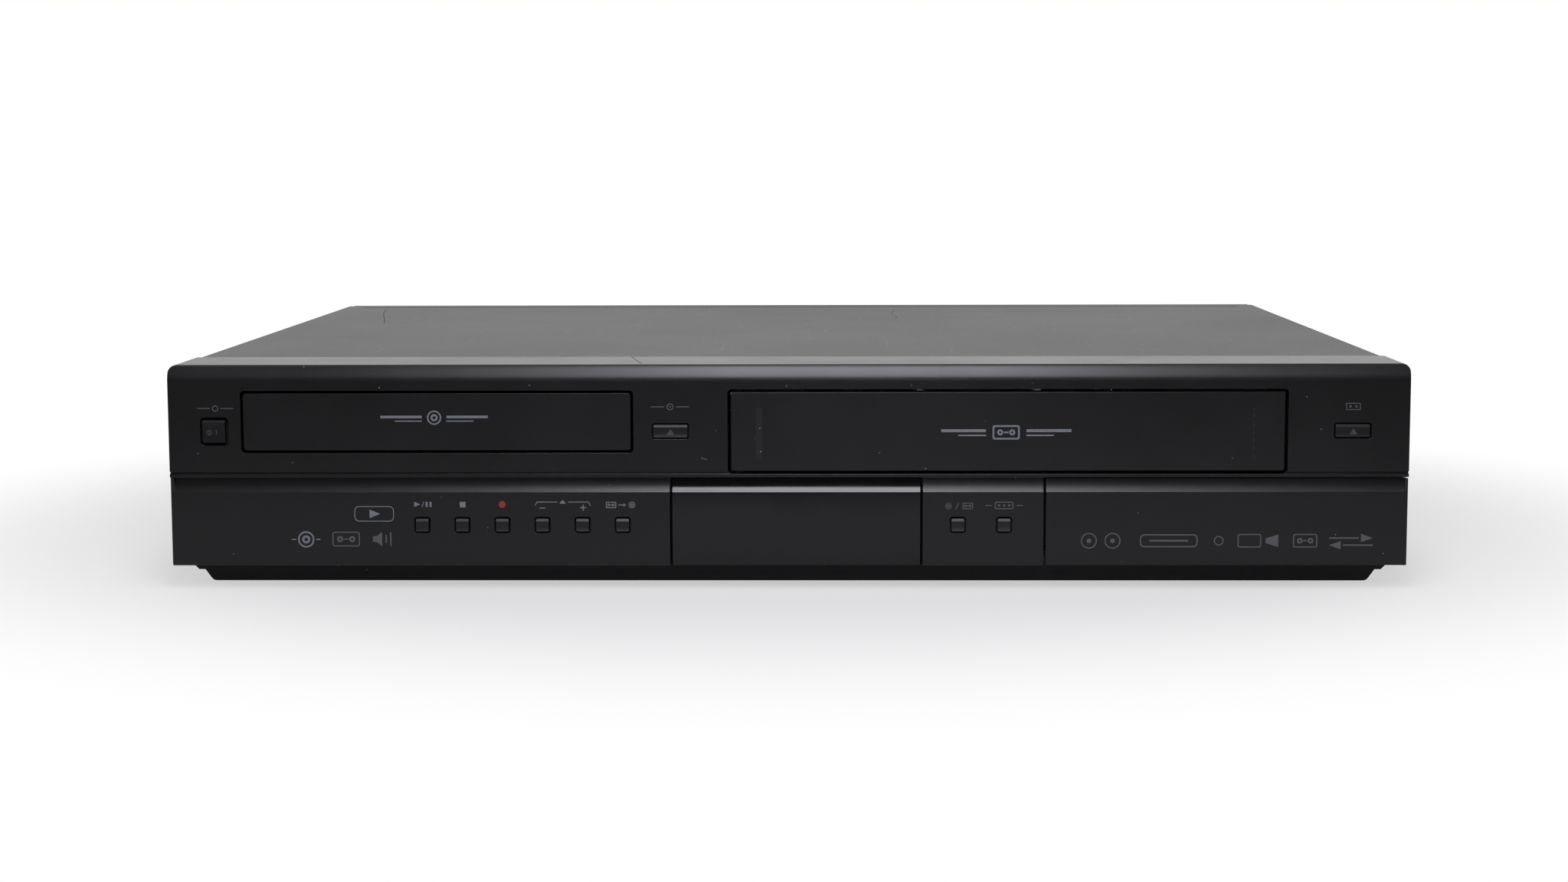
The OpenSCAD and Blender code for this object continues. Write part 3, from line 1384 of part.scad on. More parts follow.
// Folded sheet box, open in front and below, that takes the cassette
module cassette_carriage() {
    half = carriage_half;
    t = carriage_t;
    low = carriage_low;
    top = low + tape_h + 0.6 + 2 * t;
    y1 = carriage_y + carriage_d;
    color([0.7, 0.71, 0.72]) from_front() {
        difference() {
            along_y(carriage_y, y1) translate([deck_x, 0]) difference() {
                translate([-half - t, low]) square([2 * (half + t), top - low]);
                translate([-half, low + t]) square([2 * half, top - low - 2 * t]);
                translate([-half + 17, low - 1]) square([2 * half - 34, t + 2]);
            }
            for (x = [deck_x - 50, deck_x + 50]) {
                box(x - 12, x + 12, carriage_y + 30, carriage_y + 80, top - 2 * t, top + 1);
            }
            box(deck_x - 24, deck_x + 24, carriage_y - 1, carriage_y + 12, top - 2 * t, top + 1);
        }
        // Leaf springs that press the cassette down
        for (x = [deck_x - 50, deck_x + 50]) {
            translate([x, carriage_y + 28, top - t]) rotate([-2, 0, 0])
                translate([-5, 0, 0]) cube([10, 36, 0.6]);
        }
        for (x = [deck_x - half, deck_x + half - 22]) box(x, x + 22, y1 - t, y1, low, top);
        for (side = [-1, 1], y = carriage_pin_y) {
            x = deck_x + side * half;
            pin_x(min(x, x + side * (t + 4.4)), max(x, x + side * (t + 4.4)), y, slot_z, carriage_pin_r);
        }
    }
}

// Side plates with the L-shaped slots that lead the cassette in and down
module carriage_frames() {
    slot_h = carriage_pin_r + fit_gap;
    top = carriage_low + tape_h + 4.4;
    color([0.58, 0.59, 0.6]) from_front() {
        for (side = [-1, 1]) {
            x = deck_x + side * (frame_in + frame_t / 2);
            difference() {
                box(x - frame_t / 2, x + frame_t / 2, carriage_y - 2, capstan_y - 12, deck_top, top);
                for (y = carriage_pin_y) {
                    box(x - 2, x + 2, y, y + carriage_travel, slot_z - slot_h, slot_z + slot_h);
                    for (end = [0, carriage_travel]) pin_x(x - 2, x + 2, y + end, slot_z, slot_h);
                    box(x - 2, x + 2, y + carriage_travel - slot_h, y + carriage_travel + slot_h,
                        slot_z - slot_drop, slot_z);
                    pin_x(x - 2, x + 2, y + carriage_travel, slot_z - slot_drop, slot_h);
                }
            }
            foot = side * (frame_in - 5);
            box(deck_x + min(foot, foot + side * 6), deck_x + max(foot, foot + side * 6),
                deck_y + 20, deck_y + 40, deck_top, deck_top + frame_t);
        }
        box(deck_x - frame_in - frame_t, deck_x + frame_in + frame_t, capstan_y - 40, capstan_y - 16,
            top - frame_t, top);
    }
}

bottom_chassis();
rubber_feet();
rear_panel();
top_cover();
case_screws();
front_fascia();
display_lens();
display_tube();
key_board();
front_jack_board();
power_button();
open_button();
eject_button();
play_button();
stop_button();
record_button();
channel_down_button();
channel_up_button();
dubbing_button();
source_button();
output_button();
input_door();
cassette_flap();
main_board();
power_board();
mains_inlet();
tuner_block();
rear_jack_block();
digital_socket();
fan_frame();
fan_rotor();
drive_base();
drive_lid();
disc_tray();
tray_front();
tray_gear();
pulley_gear();
motor_pulley();
drive_belt();
loading_motor();
traverse();
guide_rods();
spindle_motor();
turntable();
disc_clamp();
pickup_sled();
deck_plate();
supply_reel();
takeup_reel();
drum_base();
head_drum();
capstan();
pinch_arm();
tape_heads();
guide_posts();
cassette_carriage();
carriage_frames();
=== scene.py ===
import math

import bpy
import numpy as np
from mathutils import Matrix, Vector


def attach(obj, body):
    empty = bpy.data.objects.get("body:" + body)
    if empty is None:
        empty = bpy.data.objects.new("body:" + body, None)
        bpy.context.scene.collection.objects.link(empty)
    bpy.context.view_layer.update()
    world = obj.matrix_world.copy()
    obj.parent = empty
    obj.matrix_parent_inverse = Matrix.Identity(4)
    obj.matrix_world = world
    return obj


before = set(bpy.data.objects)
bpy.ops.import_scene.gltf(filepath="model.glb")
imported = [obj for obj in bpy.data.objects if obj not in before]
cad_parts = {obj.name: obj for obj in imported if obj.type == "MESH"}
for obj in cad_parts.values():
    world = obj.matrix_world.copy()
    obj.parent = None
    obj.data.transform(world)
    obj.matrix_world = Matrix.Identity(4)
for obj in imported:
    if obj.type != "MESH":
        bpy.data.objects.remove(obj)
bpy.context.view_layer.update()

MM = 0.001


# ---- Table, light and camera -------------------------------------------------
# The recorder stands on a plain pale table in a white bay. One tall soft lamp
# hangs in front of it and above it, and the camera looks at it from a metre away.

camera_place = Vector((0.0168, -1.0883, 0.1558))
camera_yaw = math.radians(1.11)
camera_pitch = math.radians(6.492)
camera_roll = math.radians(-0.17)
camera_lens, camera_sensor = 60.79, 36
lamp_place = Vector((0.022, -0.58, 0.76))
lamp_target = Vector((0.022, 0.0, 0.07))
lamp_wide, lamp_tall = 0.26, 1.2
lamp_power = 8.9
lamp_tint = (0.98, 0.98, 1.06)
table_front, table_back, table_side = -0.42, 3.0, 3.0
table_grey = (0.48, 0.48, 0.48, 1)
bay_white = (1.0, 1.0, 1.0, 1)
bay_front, bay_back = 0.05, 1.0
bay_turn_start, bay_turn_end = 0.05, 0.6
shadow_near, shadow_far, shadow_share = 0.22, 0.42, 0.55
gloss_near, gloss_far = 0.4, 0.9


def operator(operation):
    """Operator of Socket that adds one Math node."""
    return lambda first, second=0.0: first.math(operation, first, second)


class Socket:
    """An output of a shader node. Arithmetic on it adds Math nodes."""

    def __init__(self, finish, link):
        self.finish = finish
        self.link = link

    def math(self, operation, first, second):
        return self.finish.node("ShaderNodeMath", {"operation": operation}, {0: first, 1: second})

    def __rsub__(self, other):
        return self.math("SUBTRACT", other, self)

    __add__ = operator("ADD")
    __sub__ = operator("SUBTRACT")
    __mul__ = operator("MULTIPLY")
    __truediv__ = operator("DIVIDE")
    __mod__ = operator("FLOORED_MODULO")
    __pow__ = operator("POWER")
    __abs__ = operator("ABSOLUTE")
    __gt__ = operator("GREATER_THAN")
    __lt__ = operator("LESS_THAN")
    __or__ = operator("MAXIMUM")


class Finish:
    """The nodes of one finish. node() makes any node from its type, settings and sockets."""

    def __init__(self, tree):
        self.tree = tree

    def put(self, socket, value):
        if isinstance(value, Socket):
            self.tree.links.new(value.link, socket)
        else:
            socket.default_value = value

    def feed(self, name, value):
        self.put(self.shader.inputs[name], value)

    def node(self, kind, settings=None, sockets=None, output=0):
        made = self.tree.nodes.new(kind)
        for name, value in (settings or {}).items():
            if name == "stops":
                for number, (place, colour) in enumerate(value):
                    marks = made.color_ramp.elements
                    stop = marks[number] if number < len(marks) else marks.new(place)
                    stop.position = place
                    stop.color = colour
            else:
                setattr(made, name, value)
        for key, value in (sockets or {}).items():
            self.put(made.inputs[key], value)
        return Socket(self, made.outputs[output])


def stretch(finish, value, low, high, to_low=0.0, to_high=1.0, way="LINEAR"):
    """Maps low..high to to_low..to_high and stops there."""
    return finish.node("ShaderNodeMapRange", {"interpolation_type": way}, {
        "Value": value, "From Min": low, "From Max": high, "To Min": to_low, "To Max": to_high})


def seen_by(finish, *rays):
    """1 for what the named kinds of ray see, such as the camera's, and 0 for other light."""
    path = finish.node("ShaderNodeLightPath").link.node.outputs
    seen = Socket(finish, path[rays[0]])
    for ray in rays[1:]:
        seen = seen | Socket(finish, path[ray])
    return seen


def soft_lamp(name, place, toward, width, height, power):
    """Rectangular lamp of even brightness, width by height, pointing at toward."""
    data = bpy.data.lights.new(name, "AREA")
    data.shape = "RECTANGLE"
    data.size = width
    data.size_y = height
    data.energy = power
    data.color = lamp_tint
    lamp = bpy.data.objects.new(name, data)
    turn = (toward - place).to_track_quat("-Z", "Y")
    lamp.matrix_world = Matrix.Translation(place) @ turn.to_matrix().to_4x4()
    lamp.visible_camera = False
    bpy.context.scene.collection.objects.link(lamp)


scene = bpy.context.scene
scene.view_settings.view_transform = "Standard"
look = Vector((-math.sin(camera_yaw) * math.cos(camera_pitch),
               math.cos(camera_yaw) * math.cos(camera_pitch), -math.sin(camera_pitch)))
level = Vector((math.cos(camera_yaw), math.sin(camera_yaw), 0))
upward = level.cross(look)
right = math.cos(camera_roll) * level + math.sin(camera_roll) * upward
above = math.cos(camera_roll) * upward - math.sin(camera_roll) * level
camera_data = bpy.data.cameras.new("camera")
camera_data.sensor_width = camera_sensor
camera_data.lens = camera_lens
camera_data.clip_start = 0.01
camera = bpy.data.objects.new("camera", camera_data)
camera.matrix_world = Matrix((
    (right.x, above.x, -look.x, camera_place.x),
    (right.y, above.y, -look.y, camera_place.y),
    (right.z, above.z, -look.z, camera_place.z),
    (0, 0, 0, 1)))
scene.collection.objects.link(camera)
scene.camera = camera

soft_lamp("tall_lamp", lamp_place, lamp_target, lamp_wide, lamp_tall, lamp_power)

table_mesh = bpy.data.meshes.new("table")
table_mesh.from_pydata([(-table_side, table_front, 0), (table_side, table_front, 0),
                        (table_side, table_back, 0), (-table_side, table_back, 0)],
                       [], [(0, 1, 2, 3)])
table = bpy.data.objects.new("table", table_mesh)
scene.collection.objects.link(table)

table_material = bpy.data.materials.new("table_paper")
table_material.use_nodes = True
table_material.node_tree.nodes.clear()
paper = Finish(table_material.node_tree)
paper_away = paper.node("ShaderNodeVectorMath", {"operation": "LENGTH"},
                        {0: paper.node("ShaderNodeTexCoord", None, None, "Object")}, "Value")
paper_for_camera = stretch(paper, paper_away, shadow_near, shadow_far, shadow_share, 1.0,
                           "SMOOTHSTEP")
paper_for_gloss = stretch(paper, paper_away, gloss_near, gloss_far, way="SMOOTHSTEP")
paper_white = (seen_by(paper, "Is Camera Ray") * paper_for_camera
               | seen_by(paper, "Is Glossy Ray", "Is Transmission Ray") * paper_for_gloss)
paper_lit = paper.node("ShaderNodeBsdfDiffuse", None, {"Color": table_grey})
paper_seen = paper.node("ShaderNodeEmission", None, {"Color": bay_white, "Strength": 1.0})
paper_out = paper.tree.nodes.new("ShaderNodeOutputMaterial")
paper.put(paper_out.inputs["Surface"], paper.node("ShaderNodeMixShader", None, {
    0: paper_white, 1: paper_lit, 2: paper_seen}))
table_mesh.materials.append(table_material)

world = bpy.data.worlds.new("white_bay")
world.use_nodes = True
world.node_tree.nodes.clear()
scene.world = world
bay = Finish(world.node_tree)
bay_way = bay.node("ShaderNodeSeparateXYZ", None, {0: bay.node("ShaderNodeTexCoord")}, 1)
bay_level = stretch(bay, bay_way, bay_turn_start, bay_turn_end, bay_front, bay_back, "SMOOTHSTEP")
bay_lit = bay.node("ShaderNodeBackground", None, {"Color": bay_white, "Strength": bay_level})
bay_seen = bay.node("ShaderNodeBackground", None, {"Color": bay_white, "Strength": 1.0})
bay_out = bay.tree.nodes.new("ShaderNodeOutputWorld")
bay.put(bay_out.inputs["Surface"], bay.node("ShaderNodeMixShader", None, {
    0: bay.node("ShaderNodeLightPath"), 1: bay_lit, 2: bay_seen}))


# ---- Moulded front -----------------------------------------------------------
# One black polystyrene moulding with a fine satin texture: flat band and rolled
# edge on top, upper face, cove and lower face. Three small signs are printed
# over its larger keys, and a hair scratch crosses the band.

front_black = (0.0054, 0.0054, 0.0057, 1)
dust_grey = (0.3, 0.29, 0.27, 1)
print_dim = (0.085, 0.085, 0.09, 1)
scratch_black = (0.004, 0.004, 0.004, 1)
front_roughness = 0.32
cove_steepness = 0.027
cove_lip, cove_middle, cove_ends, cove_back = 39.0, 34.5, 214.9, -165
upper_face, flat_band = -176.9, 76
power_print, open_print, tape_print = (-198.5, 63.6), (-40.3, 64.0), (195.4, 63.9)
line_half = 0.17
face_scratch, face_scratch_half = ((-29.71, 46.25), (-27.59, 45.6)), 0.14
band_line, band_line_half = ((-56.3, -141.0), (-50.9, -169.0)), 0.2
band_chip, band_chip_radius = (-50.6, -169.5), 0.6


def plastic(name, colour, roughness, specular=0.5, metallic=0.0):
    """A material with one Principled shader, and its finish for more nodes; x, y, z in mm."""
    material = bpy.data.materials.new(name)
    material.use_nodes = True
    finish = Finish(material.node_tree)
    finish.shader = material.node_tree.nodes["Principled BSDF"]
    finish.material = material
    finish.colour = colour
    finish.shader.inputs["Base Color"].default_value = colour
    finish.shader.inputs["Roughness"].default_value = roughness
    finish.shader.inputs["Specular IOR Level"].default_value = specular
    finish.shader.inputs["Metallic"].default_value = metallic
    finish.place = finish.node("ShaderNodeTexCoord", None, None, "Object")
    apart = finish.node("ShaderNodeSeparateXYZ", None, {0: finish.place}).link.node
    finish.x, finish.y, finish.z = (Socket(finish, apart.outputs[axis]) * 1000 for axis in range(3))
    return finish


def noise(finish, scale, detail=2.0, roughness=0.5, pull=(1, 1, 1)):
    """Cloudy pattern in 0..1 with scale cells in a metre; a small pull draws an axis out."""
    place = finish.place
    if pull != (1, 1, 1):
        place = finish.node("ShaderNodeVectorMath", {"operation": "MULTIPLY"},
                            {0: place, 1: pull})
    return finish.node("ShaderNodeTexNoise", None,
                       {"Vector": place, "Scale": scale, "Detail": detail, "Roughness": roughness})


def blend(finish, factor, first, second):
    """Mixes two colours by factor."""
    return finish.node("ShaderNodeMix", {"data_type": "RGBA"}, {0: factor, 6: first, 7: second}, 2)


def emboss(finish, height, strength, depth, edge=0.0, hollow=None):
    """Feeds a height in 0..1 to the shader's normal; depth in metres. edge rounds corners, and
    hollow is a slow height in mm below the fine one."""
    sockets = {"Height": height, "Strength": strength, "Distance": depth}
    if edge:
        sockets["Normal"] = finish.node("ShaderNodeBevel", {"samples": 4}, {"Radius": edge})
    if hollow:
        under = {"Height": hollow, "Strength": 1.0, "Distance": MM}
        if edge:
            under["Normal"] = sockets["Normal"]
        sockets["Normal"] = finish.node("ShaderNodeBump", None, under)
    finish.feed("Normal", finish.node("ShaderNodeBump", None, sockets))


def cove_hollow(finish):
    """Height in mm that steepens the upper part of the cove: minus the square of the depth below
    its lip."""
    below_lip = stretch(finish, finish.z, cove_lip, cove_middle, 0.0, cove_lip - cove_middle)
    in_cove = (abs(finish.x) < cove_ends) * (finish.y < cove_back)
    return below_lip * below_lip * in_cove * -cove_steepness


def specks(finish, scale, size, share):
    """1 on dust specks: balls of radius size around Voronoi points, of which share are kept."""
    cells = finish.node("ShaderNodeTexVoronoi", None,
                        {"Vector": finish.place, "Scale": scale}).link.node
    chosen = finish.node("ShaderNodeSeparateColor", None,
                         {0: Socket(finish, cells.outputs["Color"])})
    return (Socket(finish, cells.outputs["Distance"]) < size * scale) * (chosen < share)


def between(value, low, high):
    """1 where value lies in low..high."""
    return (value > low) * (value < high)


def away(across, up, centre):
    """Distance in mm from centre, in the plane of two coordinates."""
    return ((across - centre[0]) ** 2 + (up - centre[1]) ** 2) ** 0.5


def stroke(across, up, start, end, half):
    """1 nearer than half to the straight line from start to end."""
    length = math.hypot(end[0] - start[0], end[1] - start[1])
    way = ((end[0] - start[0]) / length, (end[1] - start[1]) / length)
    along = (across - start[0]) * way[0] + (up - start[1]) * way[1]
    aside = abs((across - start[0]) * way[1] - (up - start[1]) * way[0])
    return between(along, 0, length) * (aside < half)


def paint_over(finish, mask, colour):
    """Lays another colour over the base colour where mask is 1."""
    finish.colour = blend(finish, mask, finish.colour, colour)
    finish.feed("Base Color", finish.colour)


def side_bars(finish, centre, inner, outer):
    """1 on two level lines, inner to outer mm left and right of centre."""
    return ((abs(finish.z - centre[1]) < line_half)
            * between(abs(finish.x - centre[0]), inner, outer))


def shaded(colour, times):
    """A colour made lighter or darker."""
    return tuple(part * times for part in colour[:3]) + (1,)


def satin_plastic(name, colour, roughness, specular=0.5, dust=0.35, grain=0.3, edge=0.0,
                  coved=False):
    """Moulded plastic with a fine spark-eroded grain, faint smears and a little dust."""
    finish = plastic(name, colour, roughness, specular)
    fine = noise(finish, 2600, 3.0, 0.6)
    smear = noise(finish, 14, 4.0, 0.6)
    finish.rough = (stretch(finish, smear, 0.3, 0.7, roughness - 0.03, roughness + 0.04)
                    + (fine - 0.5) * 0.05)
    finish.feed("Roughness", finish.rough)
    paint_over(finish, stretch(finish, smear, 0.35, 0.75), shaded(colour, 1.3))
    paint_over(finish, specks(finish, 190, 0.0002, dust) * 0.8, dust_grey)
    emboss(finish, fine, grain, 0.00004, edge, cove_hollow(finish) if coved else None)
    return finish


def dress(finish, *names):
    """Gives CAD pieces a finish: it takes every material slot of each one."""
    for name in names:
        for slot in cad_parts[name].material_slots:
            slot.material = finish.material


front_plastic = satin_plastic("front_satin_black", front_black, front_roughness, 0.48,
                             edge=0.00025, coved=True)
on_face = front_plastic.y < upper_face
over_power = away(front_plastic.x, front_plastic.z, power_print)
power_bars = side_bars(front_plastic, power_print, 1.9, 6.3)
paint_over(front_plastic, on_face * (between(over_power, 0.75, 1.1) | power_bars), print_dim)
over_open = away(front_plastic.x, front_plastic.z, open_print)
open_bars = side_bars(front_plastic, open_print, 2.1, 6.6)
open_sign = between(over_open, 0.85, 1.2) | (over_open < 0.3) | open_bars
paint_over(front_plastic, on_face * open_sign, print_dim)
tape_x, tape_z = abs(front_plastic.x - tape_print[0]), abs(front_plastic.z - tape_print[1])
tape_outline = (tape_x < 2.5) * (tape_z < 1.25) * (1 - (tape_x < 2.2) * (tape_z < 0.95))
tape_reels = away(tape_x, tape_z, (1.0, 0)) < 0.45
paint_over(front_plastic, on_face * (tape_outline | tape_reels), print_dim)
rub = on_face * stroke(front_plastic.x, front_plastic.z, *face_scratch, face_scratch_half)
paint_over(front_plastic, rub * 0.35, dust_grey)
band_hair = stroke(front_plastic.x, front_plastic.y, *band_line, band_line_half)
chipped = away(front_plastic.x, front_plastic.y, band_chip) < band_chip_radius
band_scratch = (band_hair | chipped) * (front_plastic.z > flat_band)
paint_over(front_plastic, band_scratch, scratch_black)
front_plastic.feed("Roughness", front_plastic.rough + band_scratch * 0.4)
dress(front_plastic, "front_fascia", "input_door")


# ---- Tray front and cassette flap --------------------------------------------
# Two long doors of the same black plastic in the upper face: one is clipped to the end of the disc
# tray, the other swings in over the cassette slot. Tapes have nicked the flap along two upright
# lines. The flap's pins at both ends are painted black and reflect nothing, as painted shade of the
# gap round the flap.

door_black = (0.0055, 0.0055, 0.0058, 1)
nick_grey = (0.1, 0.1, 0.1, 1)
# painted shade for gaps and seams: laid on the flap's end pins and the display window's ends
gap_shade_black = (0.0005, 0.0005, 0.0005, 1)
mark_low, mark_high = 45.5, 63.5
nick_line, worn_line, rub_line = (-11.0, -8.2), (-10.6, -8.4), (161.25, 161.6)
flap_middle, pin_start = 76.4, 95.7
door_finish = satin_plastic("door_satin_black", door_black, 0.33, edge=0.00025)
dress(door_finish, "tray_front")

flap = satin_plastic("flap_satin_black", door_black, 0.33, edge=0.00025)
mark_rows = between(flap.z, mark_low, mark_high)
nicked = between(flap.x, *nick_line) * specks(flap, 420, 0.00034, 0.4)
worn = between(flap.x, *worn_line) * 0.25
rubbed = (between(flap.x, *rub_line)
          * stretch(flap, noise(flap, 700), 0.45, 0.6))
paint_over(flap, (rubbed + worn) * mark_rows * 0.3, nick_grey)
paint_over(flap, nicked * mark_rows, dust_grey)
# Painted shade: the pins at the flap's ends are black and reflect nothing, so that the gap round
# the flap stays dark.
shaded_pins = abs(flap.x - flap_middle) > pin_start
paint_over(flap, shaded_pins, gap_shade_black)
flap.feed("Metallic", shaded_pins)
dress(flap, "cassette_flap")


# ---- Display window ----------------------------------------------------------
# A smoked acrylic plate snapped into the lower front; its ends are painted black and reflect
# nothing, as painted shade of the seams beside it. Behind it a fluorescent display tube of dark
# glass shows its comb of grid wires.

window_black = (0.004, 0.004, 0.0045, 1)
window_dull = (0.006, 0.006, 0.0065, 1)
tube_teal = (0.03, 0.045, 0.045, 1)
wire_grey = (0.16, 0.16, 0.15, 1)
digit_teal = (0.09, 0.13, 0.12, 1)
window_middle, window_rim = 3.3, 43.1
wire_pitch, wire_wide, wire_rows = 1.2, 0.18, (15, 30)
digit_pitch, digit_wide, digit_rows = 9.0, 6.0, (18, 27)
window = plastic("smoked_acrylic", window_black, 0.11, 0.42)
window_wave = noise(window, 45, 1.0, 0.4, (1, 0.4, 0.6))
window_smear = noise(window, 22, 4.0, 0.6)
window.feed("Roughness", stretch(window, window_smear, 0.35, 0.7, 0.09, 0.16))
paint_over(window, stretch(window, window_smear, 0.4, 0.75), window_dull)
paint_over(window, specks(window, 170, 0.0003, 0.3) * 0.8, dust_grey)
# Painted shade: the window's ends are black and reflect nothing, to stand for the dark seams at its
# sides.
window_end_shade = abs(window.x - window_middle) > window_rim
paint_over(window, window_end_shade, gap_shade_black)
window.feed("Metallic", window_end_shade)
emboss(window, window_wave, 0.35, 0.0004, 0.0002, cove_hollow(window))
dress(window, "display_lens")

tube = plastic("tube_glass", tube_teal, 0.08)
grid = (between((tube.x + 1000) % wire_pitch, 0, wire_wide)
        * between(tube.z, *wire_rows))
digits = (between((tube.x + 1000) % digit_pitch, 0, digit_wide)
          * between(tube.z, *digit_rows))
paint_over(tube, grid, wire_grey)
paint_over(tube, digits * 0.35, digit_teal)
emboss(tube, grid, 0.2, 0.0001)
dress(tube, "display_tube")


# ---- Keys --------------------------------------------------------------------
# Small square caps moulded in a slightly greyer plastic, standing in their wells.
# The larger power, open and eject caps are blacker and carry a faint sign.

key_grey = (0.0085, 0.0085, 0.0088, 1)
key_black = (0.005, 0.005, 0.0053, 1)
key_sign = (0.055, 0.055, 0.057, 1)
power_centre, power_rows = (-200.9, 55.1), (54.2, 56.1)
power_lines = ((-201.05, -200.75), (-198.5, -198.2))
arrow_places, arrow_foot, arrow_tip, arrow_slope = (-40.25, 195.7), 54.2, 56.4, 0.6

small_key_finish = satin_plastic("key_satin_grey", key_grey, 0.42, 0.38,
                                 dust=0.2, grain=0.1, edge=0.00015)
dress(small_key_finish, "play_button", "stop_button", "record_button", "channel_down_button",
      "channel_up_button", "dubbing_button", "source_button", "output_button")

caps = satin_plastic("key_satin_black", key_black, 0.42, 0.34,
                           dust=0.2, grain=0.1, edge=0.00015)
power_turn = away(caps.x, caps.z, power_centre)
power_strokes = between(caps.x, *power_lines[0]) | between(caps.x, *power_lines[1])
paint_over(caps, between(power_turn, 0.7, 0.98)
           | between(caps.z, *power_rows) * power_strokes, key_sign)
for arrow_x in arrow_places:
    arrow_half = (arrow_tip - caps.z) * arrow_slope
    arrow = (arrow_half > abs(caps.x - arrow_x)) * (caps.z > arrow_foot)
    paint_over(caps, arrow, key_sign)
dress(caps, "power_button", "open_button", "eject_button")


# ---- Printed signs -----------------------------------------------------------
# Small grey signs are screen-printed on the doors and the lower face, over and
# beside the keys. The ink is a film a fiftieth of a millimetre thick.

print_grey = (0.19, 0.2, 0.215, 1)
print_faint = (0.1, 0.1, 0.105, 1)
print_red = (0.3, 0.03, 0.022, 1)
ink_front, ink_back = 0.02, 0.12
face_of = {"lower": -176.0, "door": -176.0, "tray": -176.85, "flap": -176.85}


def ink(name, colour):
    """Matt printing ink with slightly uneven cover."""
    finish = plastic(name, colour, 0.45, 0.4)
    patch = noise(finish, 1500, 2.0)
    paint_over(finish, stretch(finish, patch, 0.45, 0.8) * 0.5, shaded(colour, 0.6))
    emboss(finish, patch, 0.1, 0.00002)
    return finish


def ring_loop(centre, wide, tall, corner=None, steps=6):
    """Points of a rounded rectangle, four quarter circles at its corners; a circle if corner is
    half of it."""
    corner = min(wide, tall) / 2 if corner is None else corner
    turn = np.linspace(0, np.pi / 2, steps)
    quarter = np.concatenate([turn + side * np.pi / 2 for side in range(4)])
    push_x = np.repeat([1, -1, -1, 1], steps) * (wide / 2 - corner)
    push_z = np.repeat([1, 1, -1, -1], steps) * (tall / 2 - corner)
    return np.stack([centre[0] + push_x + corner * np.cos(quarter),
                     centre[1] + push_z + corner * np.sin(quarter)], 1)


def printed(shapes, face):
    """Vertices and faces of closed films. A shape is a loop of (x, z), or an outer and an inner
    loop: each loop is repeated in front of the face and inside the plastic, and joined by
    quads."""
    front, back = face - ink_front, face + ink_back
    points, faces, start = [], [], 0
    for shape in shapes:
        loops = [np.asarray(loop, float)
                 for loop in (shape if isinstance(shape, tuple) else (shape,))]
        count = len(loops[0])
        this = np.arange(count)
        after = (this + 1) % count
        outer = [(loops[0], front), (loops[0], back)]
        inner = [(loops[1], back), (loops[1], front)] if len(loops) == 2 else []
        for loop, depth in outer + inner:
            points.append(np.stack([loop[:, 0], np.full(count, depth), loop[:, 1]], 1))
        rows = len(outer + inner)
        if inner:
            for row in range(rows):
                low, high = start + row * count, start + (row + 1) % rows * count
                faces += np.stack([low + this, high + this, high + after, low + after], 1).tolist()
        else:
            faces += np.stack([start + this, start + count + this,
                               start + count + after, start + after], 1).tolist()
            faces += [(start + this).tolist(), (start + count + this[::-1]).tolist()]
        start += rows * count
    return np.concatenate(points) * MM, faces


def new_piece(name, points, faces, finish):
    """Adds a piece with its mesh and its finish to the scene."""
    mesh = bpy.data.meshes.new(name)
    mesh.from_pydata(points.tolist(), [], faces)
    mesh.materials.append(finish.material)
    piece = bpy.data.objects.new(name, mesh)
    scene.collection.objects.link(piece)
    return piece


def print_sign(name, shapes, finish, face="lower", body="root"):
    """Makes one sign on a face and lets it ride on the body behind it."""
    sign = new_piece(name, *printed(shapes, face_of[face]), finish)
    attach(sign, body)


def bar(x0, x1, z0, z1):
    """Loop of an upright rectangle."""
    return [(x1, z0), (x1, z1), (x0, z1), (x0, z0)]


def plus_loop(centre, reach, half):
    """Loop round a plus sign whose arms are two halves wide."""
    corners = ((reach, -half), (reach, half), (half, half), (half, reach), (-half, reach),
               (-half, half), (-reach, half), (-reach, -half), (-half, -half), (-half, -reach),
               (half, -reach), (half, -half))
    return [(centre[0] + x, centre[1] + z) for x, z in corners]


def ring(centre, outer, inner):
    """Outer and inner loop of a round ring, from its two diameters."""
    return ring_loop(centre, outer, outer), ring_loop(centre, inner, inner)


def frame_loops(centre, wide, tall, corner, line, inner_corner):
    """Outer and inner loop of a rounded frame whose line has this width."""
    return (ring_loop(centre, wide, tall, corner),
            ring_loop(centre, wide - 2 * line, tall - 2 * line, inner_corner))


def disc_sign(x, z, radius):
    """A disc seen flat on: rim, and hub with its hole."""
    return [ring((x, z), 2 * radius, 1.62 * radius), ring((x, z), radius, 0.45 * radius)]


def tape_sign(x, z, wide, tall, line):
    """A cassette seen from above: its outline, two reels and the edge of its window."""
    reels = [ring((x + side * wide * 0.22, z), tall * 0.42, tall * 0.16) for side in (-1, 1)]
    return [frame_loops((x, z), wide, tall, tall * 0.16, line, tall * 0.08),
            bar(x - wide * 0.08, x + wide * 0.08, z - line / 2, z + line / 2)] + reels


grey_ink = ink("print_grey", print_grey)
faint_ink = ink("print_faint", print_faint)
red_ink = ink("print_red", print_red)

